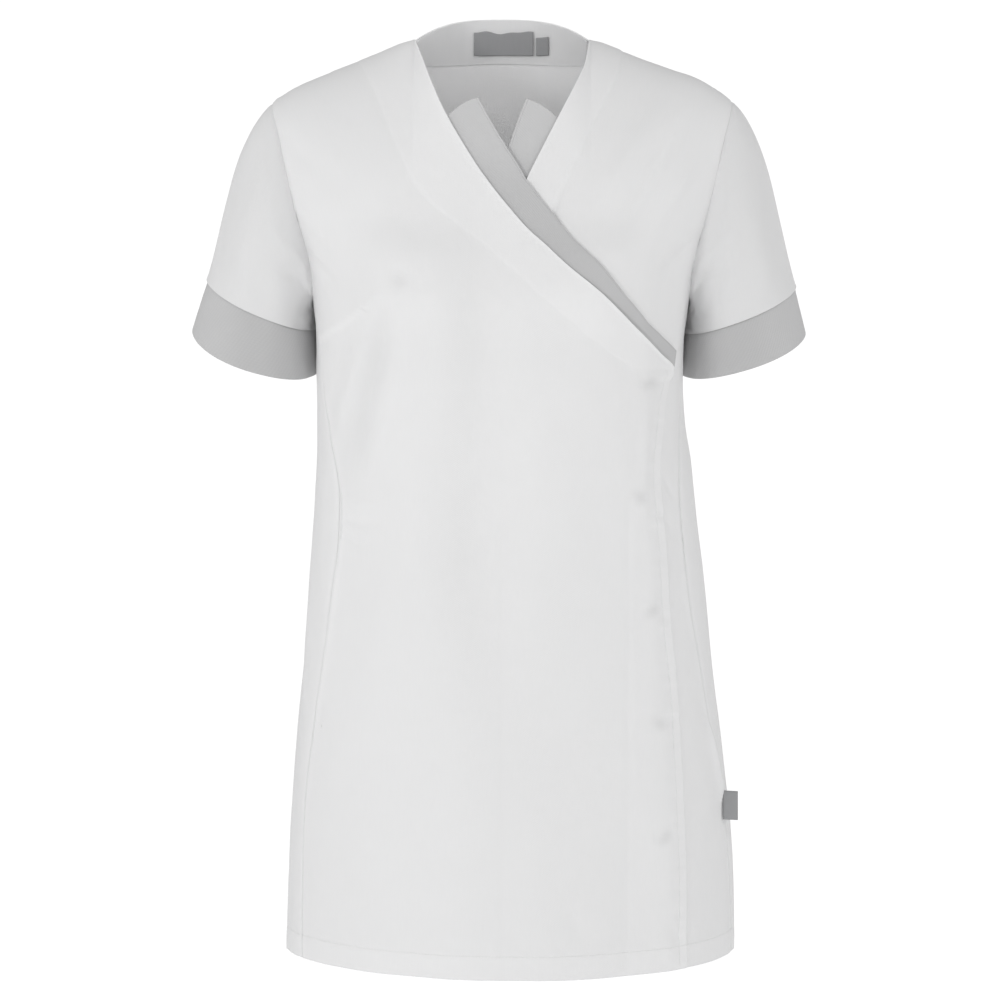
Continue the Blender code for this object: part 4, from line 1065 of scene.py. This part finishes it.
def neck_facing(finish):
    """The facing inside the back neck. Its lower edge runs nearly level from shoulder to shoulder."""
    upper, lower = [0, 0.004, 0.015, 0.04], [0.95, 0.97, 0.98, 0.99, 0.996, 1]
    down = np.concatenate([upper, np.linspace(0.08, 0.92, 16), lower])
    x, down = np.meshgrid(np.linspace(FACING_HALF, -FACING_HALF, FACING_COLUMNS), down)
    top = np.where(np.abs(x) < NECK_HALF_WIDTH, neck_height(x), ridge(x)) - 0.15 * MM
    bottom = np.minimum(FACING_FLOOR - 0.0060 * (x / NECK_HALF_WIDTH) ** 2, top - 0.006)
    z = top + (bottom - top) * down
    depth = CLOTH + SEAM_GAP - body_relief(angle_at(x, z, True), z)
    depth -= 0.15 * MM * peak(z - bottom - 2 * MM, 1.2 * MM)
    return strip("neck_facing", "back_neck_facing", x, z, depth, finish, FACING)


def labels(finish):
    """The two bare labels at the back of the neck, and the one in the left side seam."""
    depth = CLOTH + SEAM_GAP + TRIM + LABEL_GAP
    u, v = np.meshgrid(np.linspace(0, 1, 60), np.linspace(0, 1, 24))
    top = NECK_LABEL_TOP + 0.9 * MM * np.sin(u * 9.0) + 0.6 * MM * np.sin(u * 17.0 + 1)
    wave = 0.45 * MM * np.sin(u * 8.0 + v * 1.2) + 0.25 * MM * np.sin(u * 15 + 2)
    x, z = NECK_LABEL_START - NECK_LABEL_WIDTH * u, top - (top - NECK_LABEL_FLOOR) * v
    nape = strip("label_neck", "neck_label", x, z, depth + wave, finish)
    u, v = np.meshgrid(np.linspace(0, 1, 12), np.linspace(0, 1, 18))
    wave = 0.2 * MM * np.sin(u * 3.0 + v * 4.0)
    x, z = SIZE_TAB_START - SIZE_TAB_WIDTH * u, SIZE_TAB_TOP - SIZE_TAB_LENGTH * v
    tab = strip("label_size", "size_tab", x, z, depth + wave, finish)
    # the side label is a loop folded at its outer end
    out, face = unit(np.array(SIDE_LABEL_OUT)), unit(np.array(SIDE_LABEL_FACE))
    u = np.concatenate([np.linspace(0, 1, 12), np.linspace(1, 0, 12)])
    layer = np.repeat([0.9 * MM, 0.0], 12)
    bend = np.concatenate([np.zeros(11), [0.25, 0.25], np.zeros(11)]) * MM
    rows = []
    for share in np.linspace(0, 1, 16):
        place = np.array(SIDE_LABEL_ACROSS), np.array(SIDE_LABEL_TOP - SIDE_LABEL_LENGTH * share)
        spot = angle_at(*place), reach_at(*place)
        start = form(*spot) + normal_at(*spot) * SIDE_LABEL_CLEARANCE
        curl = 0.5 * MM * np.sin(u * 2.6 + share * 1.5)
        rows.append(start + out * (u * SIDE_LABEL_WIDTH + bend)[:, None] + face * (layer + curl)[:, None])
    loop = np.array(rows)
    half = grid_normals(loop) * 0.12 * MM
    uv = np.stack(np.meshgrid(u * 0.014, np.linspace(0, 0.026, 16)), -1)
    side = build("label_side", "side_label", loop + half, loop - half, uv, finish)
    return nape, tab, side


def stitches(name, lines, finish, pitch=2.9 * MM, length=2.1 * MM, width=0.42 * MM):
    """Lines of thread, each stitch a small spindle that lies on the cloth. A line is points and normals."""
    vertices, faces = [], []
    corners = 5
    for points, normals in lines:
        run = np.concatenate([[0], np.cumsum(np.linalg.norm(np.diff(points, axis=0), axis=1))])

        def along_line(places, values):
            return np.stack([np.interp(places, run, values[:, k]) for k in range(3)], -1)

        at = np.arange(pitch, run[-1] - pitch / 2, pitch)
        centres = along_line(at, points)
        ups, along = unit(along_line(at, normals)), unit(along_line(at + 0.4 * MM, points) - centres)
        for centre, tangent, up, beside in zip(centres, along, ups, unit(np.cross(along, ups))):
            first = len(vertices)
            for end in (-0.5, 0.5):
                vertices.append(centre + tangent * length * end - up * 0.15 * MM)
            for place in (-0.25, 0.25):
                for corner in range(corners):
                    turn = corner * 2 * math.pi / corners
                    out = up * (math.cos(turn) * width * 0.5 + 0.05 * MM)
                    out = out + beside * math.sin(turn) * width * 0.5
                    vertices.append(centre + tangent * length * place + out)
            for corner in range(corners):
                a, b = first + 2 + corner, first + 2 + (corner + 1) % corners
                c, d = a + corners, b + corners
                faces += [(first, b, a), (a, b, d, c), (first + 1, c, d)]
    mesh = bpy.data.meshes.new(name)
    mesh.from_pydata([tuple(v) for v in vertices], [], faces)
    return add_piece(name, mesh, finish)


def line_on(cloth, pick):
    """A column or row of a piece's points, with their outward normals."""
    surface, normals, _ = cloth.faced()
    return surface[pick], normals[pick]


def bar_tack(cloth, x, z, height):
    """A short dense bar of thread at a place seen from the front."""
    surface, normals, _ = cloth.faced()
    lines = []
    for step in np.arange(-height / 2, height / 2, BAR_TACK_PITCH):
        at = np.argmin((surface[..., 0] - x) ** 2 + (surface[..., 2] - z - step) ** 2)
        spot = np.unravel_index(at, surface.shape[:2])
        up = normals[spot]
        centre = np.array([x, surface[spot][1], z + step]) - up * 0.15 * MM
        side = unit(np.cross(up, np.array([0, 0, 1.0]))) * 1.5 * MM
        lines.append((np.stack([centre - side, centre, centre + side]), np.stack([up] * 3)))
    return lines


# ---------------------------------------------------------------- materials


def node(tree, kind, inputs=None, **fields):
    made = tree.nodes.new(kind)
    for field, value in fields.items():
        setattr(made, field, value)
    for key, value in (inputs or {}).items():
        if isinstance(value, bpy.types.NodeSocket):
            tree.links.new(value, made.inputs[key])
        else:
            made.inputs[key].default_value = value
    return made


def sums(tree):
    """What adds, multiplies, subtracts and takes the sine in a material's nodes."""

    def maker(operation):
        def result(one, two=0.0):
            return node(tree, "ShaderNodeMath", {0: one, 1: two}, operation=operation).outputs[0]

        return result

    return [maker(operation) for operation in ("ADD", "MULTIPLY", "SUBTRACT", "SINE")]


def uneven(tree, place, scale, detail=3.0, **more):
    fields = {"Vector": place, "Scale": scale, "Detail": detail, **more}
    return node(tree, "ShaderNodeTexNoise", fields).outputs[0]


def new_material(name):
    made = bpy.data.materials.new(name)
    made.use_nodes = True
    return made, made.node_tree, made.node_tree.nodes["Principled BSDF"]


def paint(tree, shader, level, colour, height):
    """Links a colour times a level, and the surface's fine height."""
    times = sums(tree)[1]
    tint = node(tree, "ShaderNodeCombineColor", {k: times(level, colour[k]) for k in range(3)})
    tree.links.new(tint.outputs[0], shader.inputs["Base Color"])
    tree.links.new(height.outputs[0], shader.inputs["Normal"])


def cloth_material(
    name, colour, roughness=0.86, twill=0.0009, strength=0.35, spread=0.018, sheen=0.12, ribs=0.012
):
    """Twill: slanting ribs with a fine cross thread, slight unevenness of colour, and sewn grooves with
    painted shade in them.
    """
    made, tree, shader = new_material(name)
    add, times, minus, sine = sums(tree)
    shader.inputs["Sheen Weight"].default_value = sheen
    shader.inputs["Sheen Roughness"].default_value = 0.5
    shader.inputs["Specular IOR Level"].default_value = 0.25
    uv = node(tree, "ShaderNodeUVMap", uv_map="cloth").outputs[0]
    across, along, _ = node(tree, "ShaderNodeSeparateXYZ", {0: uv}).outputs
    # twill ribs run up to the right; the cross thread breaks them into short stitches of yarn
    rib = sine(times(add(times(across, 0.86), times(along, 0.5)), 2 * math.pi / twill))
    cross = sine(times(along, 2 * math.pi / (twill * 0.8)))
    weave = add(times(rib, 0.7), times(cross, 0.3))
    fuzz = uneven(tree, uv, 2600.0, 2.0)
    cloud = uneven(tree, uv, 38.0, 4.0, Roughness=0.6)
    slub = uneven(tree, node(tree, "ShaderNodeMapping", {0: uv, 3: (900.0, 60.0, 1.0)}).outputs[0], 1.0)
    groove = node(tree, "ShaderNodeAttribute", attribute_name="groove").outputs["Fac"]
    ramp = {"Value": groove, "From Max": 0.0011}
    near = node(tree, "ShaderNodeMapRange", ramp, interpolation_type="SMOOTHSTEP").outputs[0]
    tone = node(tree, "ShaderNodeAttribute", attribute_name="tone").outputs["Fac"]
    level = add(1 - spread, times(cloud, 2 * spread * 0.6))
    level = add(level, times(minus(slub, 0.5), spread * 1.6))
    level = times(add(level, times(weave, ribs)), tone)
    # painted shade in the sewn grooves
    level = times(level, add(0.93, times(near, 0.07)))
    tree.links.new(add(roughness - 0.05, times(cloud, 0.1)), shader.inputs["Roughness"])
    height = add(weave, times(fuzz, 1.2))
    fine = node(tree, "ShaderNodeBump", {"Strength": strength, "Distance": 0.00010, "Height": height})
    bump = {"Strength": 0.7, "Distance": 0.0004, "Height": near, "Normal": fine.outputs[0]}
    paint(tree, shader, level, colour, node(tree, "ShaderNodeBump", bump))
    return made


def plain_material(name, colour, roughness, grain):
    made, tree, shader = new_material(name)
    add, times = sums(tree)[:2]
    shader.inputs["Roughness"].default_value = roughness
    texture = uneven(tree, node(tree, "ShaderNodeTexCoord").outputs["Object"], grain)
    raised = node(tree, "ShaderNodeBump", {"Strength": 0.3, "Distance": 0.0001, "Height": texture})
    paint(tree, shader, add(0.95, times(texture, 0.1)), colour, raised)
    return made


# ---------------------------------------------------------------- stage

WORLD_LIGHT = 0.46
WORLD_SEEN = 1.05
FLOOR_SIZE = 9.0
FLOOR_LEVEL = -1.42
# Name, place, target, width and height, and power.
LIGHTS = (
    ("key", (-2.1, -2.5, 0.3), (0, 0, -0.4), (0.8, 0.8), 21.8),
    ("fill", (2.1, -2.4, 0.0), (0, 0, -0.4), (1.4, 1.4), 10.0),
    ("front", (0.0, -3.2, -0.25), (0, 0, -0.35), (0.6, 0.6), 4.4),
    ("high", (0.4, -2.1, 1.6), (0, 0, -0.1), (0.8, 0.8), 8.2),
    ("left_side", (-2.6, -0.4, -0.2), (0, 0, -0.4), (1.2, 1.2), 7),
    ("right_side", (2.6, -0.4, -0.2), (0, 0, -0.4), (1.2, 1.2), 7),
    ("back", (0.6, 2.6, 0.4), (0, 0, -0.4), (1.5, 1.5), 9),
    ("inside_of_the_neck", (-0.025, -0.045, 0.008), (-0.035, 0.09, -0.02), (0.07, 0.03), 0.016),
)
CAMERA_PLACE = (-0.0018, -2.9, -0.304)
CAMERA_TARGET = (-0.0018, 0.0, -0.4122)
CAMERA_LENS = 115.93
CAMERA_SENSOR = 36.0
CAMERA_CLIP = 50


def aimed(name, data, place, target):
    """Puts a light or the camera at its place and turns it to its target."""
    obj = bpy.data.objects.new(name, data)
    obj.location = place
    obj.rotation_mode = "QUATERNION"
    obj.rotation_quaternion = (Vector(target) - Vector(place)).to_track_quat("-Z", "Y")
    bpy.context.scene.collection.objects.link(obj)
    return obj


def area_light(name, place, target, size, power):
    data = bpy.data.lights.new(name, "AREA")
    data.shape = "RECTANGLE"
    data.size, data.size_y = size
    data.energy = power
    aimed(name, data, place, target).visible_camera = False


def seen_or_lit(tree, lit, seen):
    """One strength for what is lit, and another for what the camera sees at once."""
    direct = node(tree, "ShaderNodeLightPath").outputs["Is Camera Ray"]
    return node(tree, "ShaderNodeMapRange", {"Value": direct, "To Min": lit, "To Max": seen}).outputs[0]


def make_floor():
    mesh = bpy.data.meshes.new("studio_floor")
    corners = [(x * FLOOR_SIZE, y * FLOOR_SIZE, FLOOR_LEVEL) for x, y in ((-1, -1), (1, -1), (1, 1), (-1, 1))]
    mesh.from_pydata(corners, [], [(0, 1, 2, 3)])
    made, tree, shader = new_material("floor_white")
    add, times = sums(tree)[:2]
    level = add(0.90, times(node(tree, "ShaderNodeTexNoise", {"Scale": 3.0}).outputs[0], 0.04))
    tint = node(tree, "ShaderNodeCombineColor", dict.fromkeys(range(3), level))
    tree.links.new(tint.outputs[0], shader.inputs["Base Color"])
    shader.inputs["Emission Color"].default_value = (1, 1, 1, 1)
    tree.links.new(seen_or_lit(tree, 0.20, 0.62), shader.inputs["Emission Strength"])
    shader.inputs["Roughness"].default_value = 0.9
    mesh.materials.append(made)
    floor = bpy.data.objects.new("studio_floor", mesh)
    bpy.context.scene.collection.objects.link(floor)


def stage():
    scene = bpy.context.scene
    scene.view_settings.view_transform = "Standard"
    world = bpy.data.worlds.new("studio")
    world.use_nodes = True
    tree = world.node_tree
    background = tree.nodes["Background"]
    tree.links.new(seen_or_lit(tree, WORLD_LIGHT, WORLD_SEEN), background.inputs["Strength"])
    background.inputs["Color"].default_value = (1, 1, 1, 1)
    scene.world = world
    make_floor()
    for light in LIGHTS:
        area_light(*light)
    data = bpy.data.cameras.new("camera")
    data.sensor_width = CAMERA_SENSOR
    data.lens = CAMERA_LENS
    data.clip_end = CAMERA_CLIP
    scene.camera = aimed("camera", data, CAMERA_PLACE, CAMERA_TARGET)


# ---------------------------------------------------------------- the tunic

white = cloth_material("white_twill", (0.80, 0.80, 0.803))
inside = cloth_material("white_facing", (0.79, 0.79, 0.793))
grey = cloth_material("grey_twill", (0.525, 0.525, 0.528), twill=0.0012, sheen=0.08, ribs=0.010)
cuff_grey = cloth_material("grey_twill_cuffs", (0.525, 0.525, 0.528), twill=0.0025, sheen=0.08, ribs=0.022)
dark = cloth_material("label_weave", (0.335, 0.337, 0.345), 0.7, twill=0.0006, strength=0.5, spread=0.05)
thread = plain_material("thread", (0.82, 0.82, 0.82), 0.6, 900.0)
plastic = plain_material("snap_plastic", (0.78, 0.78, 0.78), 0.35, 120.0)

over, over_cloth = over_front(white)
under, under_cloth = under_front(white)
panel_left, left_cloth = side_panel(LEFT, white, 51)
panel_right, right_cloth = side_panel(RIGHT, white, 61)
back, back_cloth = back_panel(white)
facing = neck_facing(inside)
band_over = neck_band(RIGHT, OVER_EDGE, OVER_BAND_EDGE, level_reach(OVERLAP_TIP), grey, 71)
band_under = neck_band(LEFT, UNDER_EDGE, UNDER_BAND_EDGE, UNDER_BAND_END, grey, 72)
sleeve_r, cuff_r = sleeve(RIGHT, white, 81), cuff(RIGHT, cuff_grey, 81)
sleeve_l, cuff_l = sleeve(LEFT, white, 91), cuff(LEFT, cuff_grey, 91)
label_neck, label_size, label_side = labels(dark)
bag_right, bag_left = pocket_bag(RIGHT, inside), pocket_bag(LEFT, inside)

points, normals = line_on(over_cloth, (slice(None), -1 - STITCHED.index(OVERLAP_STITCH)))
low = points[:, 2] < OVERLAP_TIP - 0.006
lines = [(points[low], normals[low])]
for cloth in (over_cloth, under_cloth, left_cloth, right_cloth, back_cloth):
    lines.append(line_on(cloth, -1 - HEM_EDGE.index(HEM_STITCH)))
sewing = stitches("sewing", lines, thread)
tacks = []
for cloth, x, z, height in (
    (over_cloth, -0.1415, -0.4370, 0.012),
    (over_cloth, -0.1600, -0.6130, 0.008),
    (under_cloth, 0.1605, -0.4500, 0.010),
):
    tacks += bar_tack(cloth, x, z, height)
bars = stitches("bar_tacks", tacks, thread, pitch=0.9 * MM, length=1.6 * MM, width=0.40 * MM)

for number in range(1, 6):
    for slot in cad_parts[f"snap_{number}"].material_slots:
        slot.material = plastic

stage()
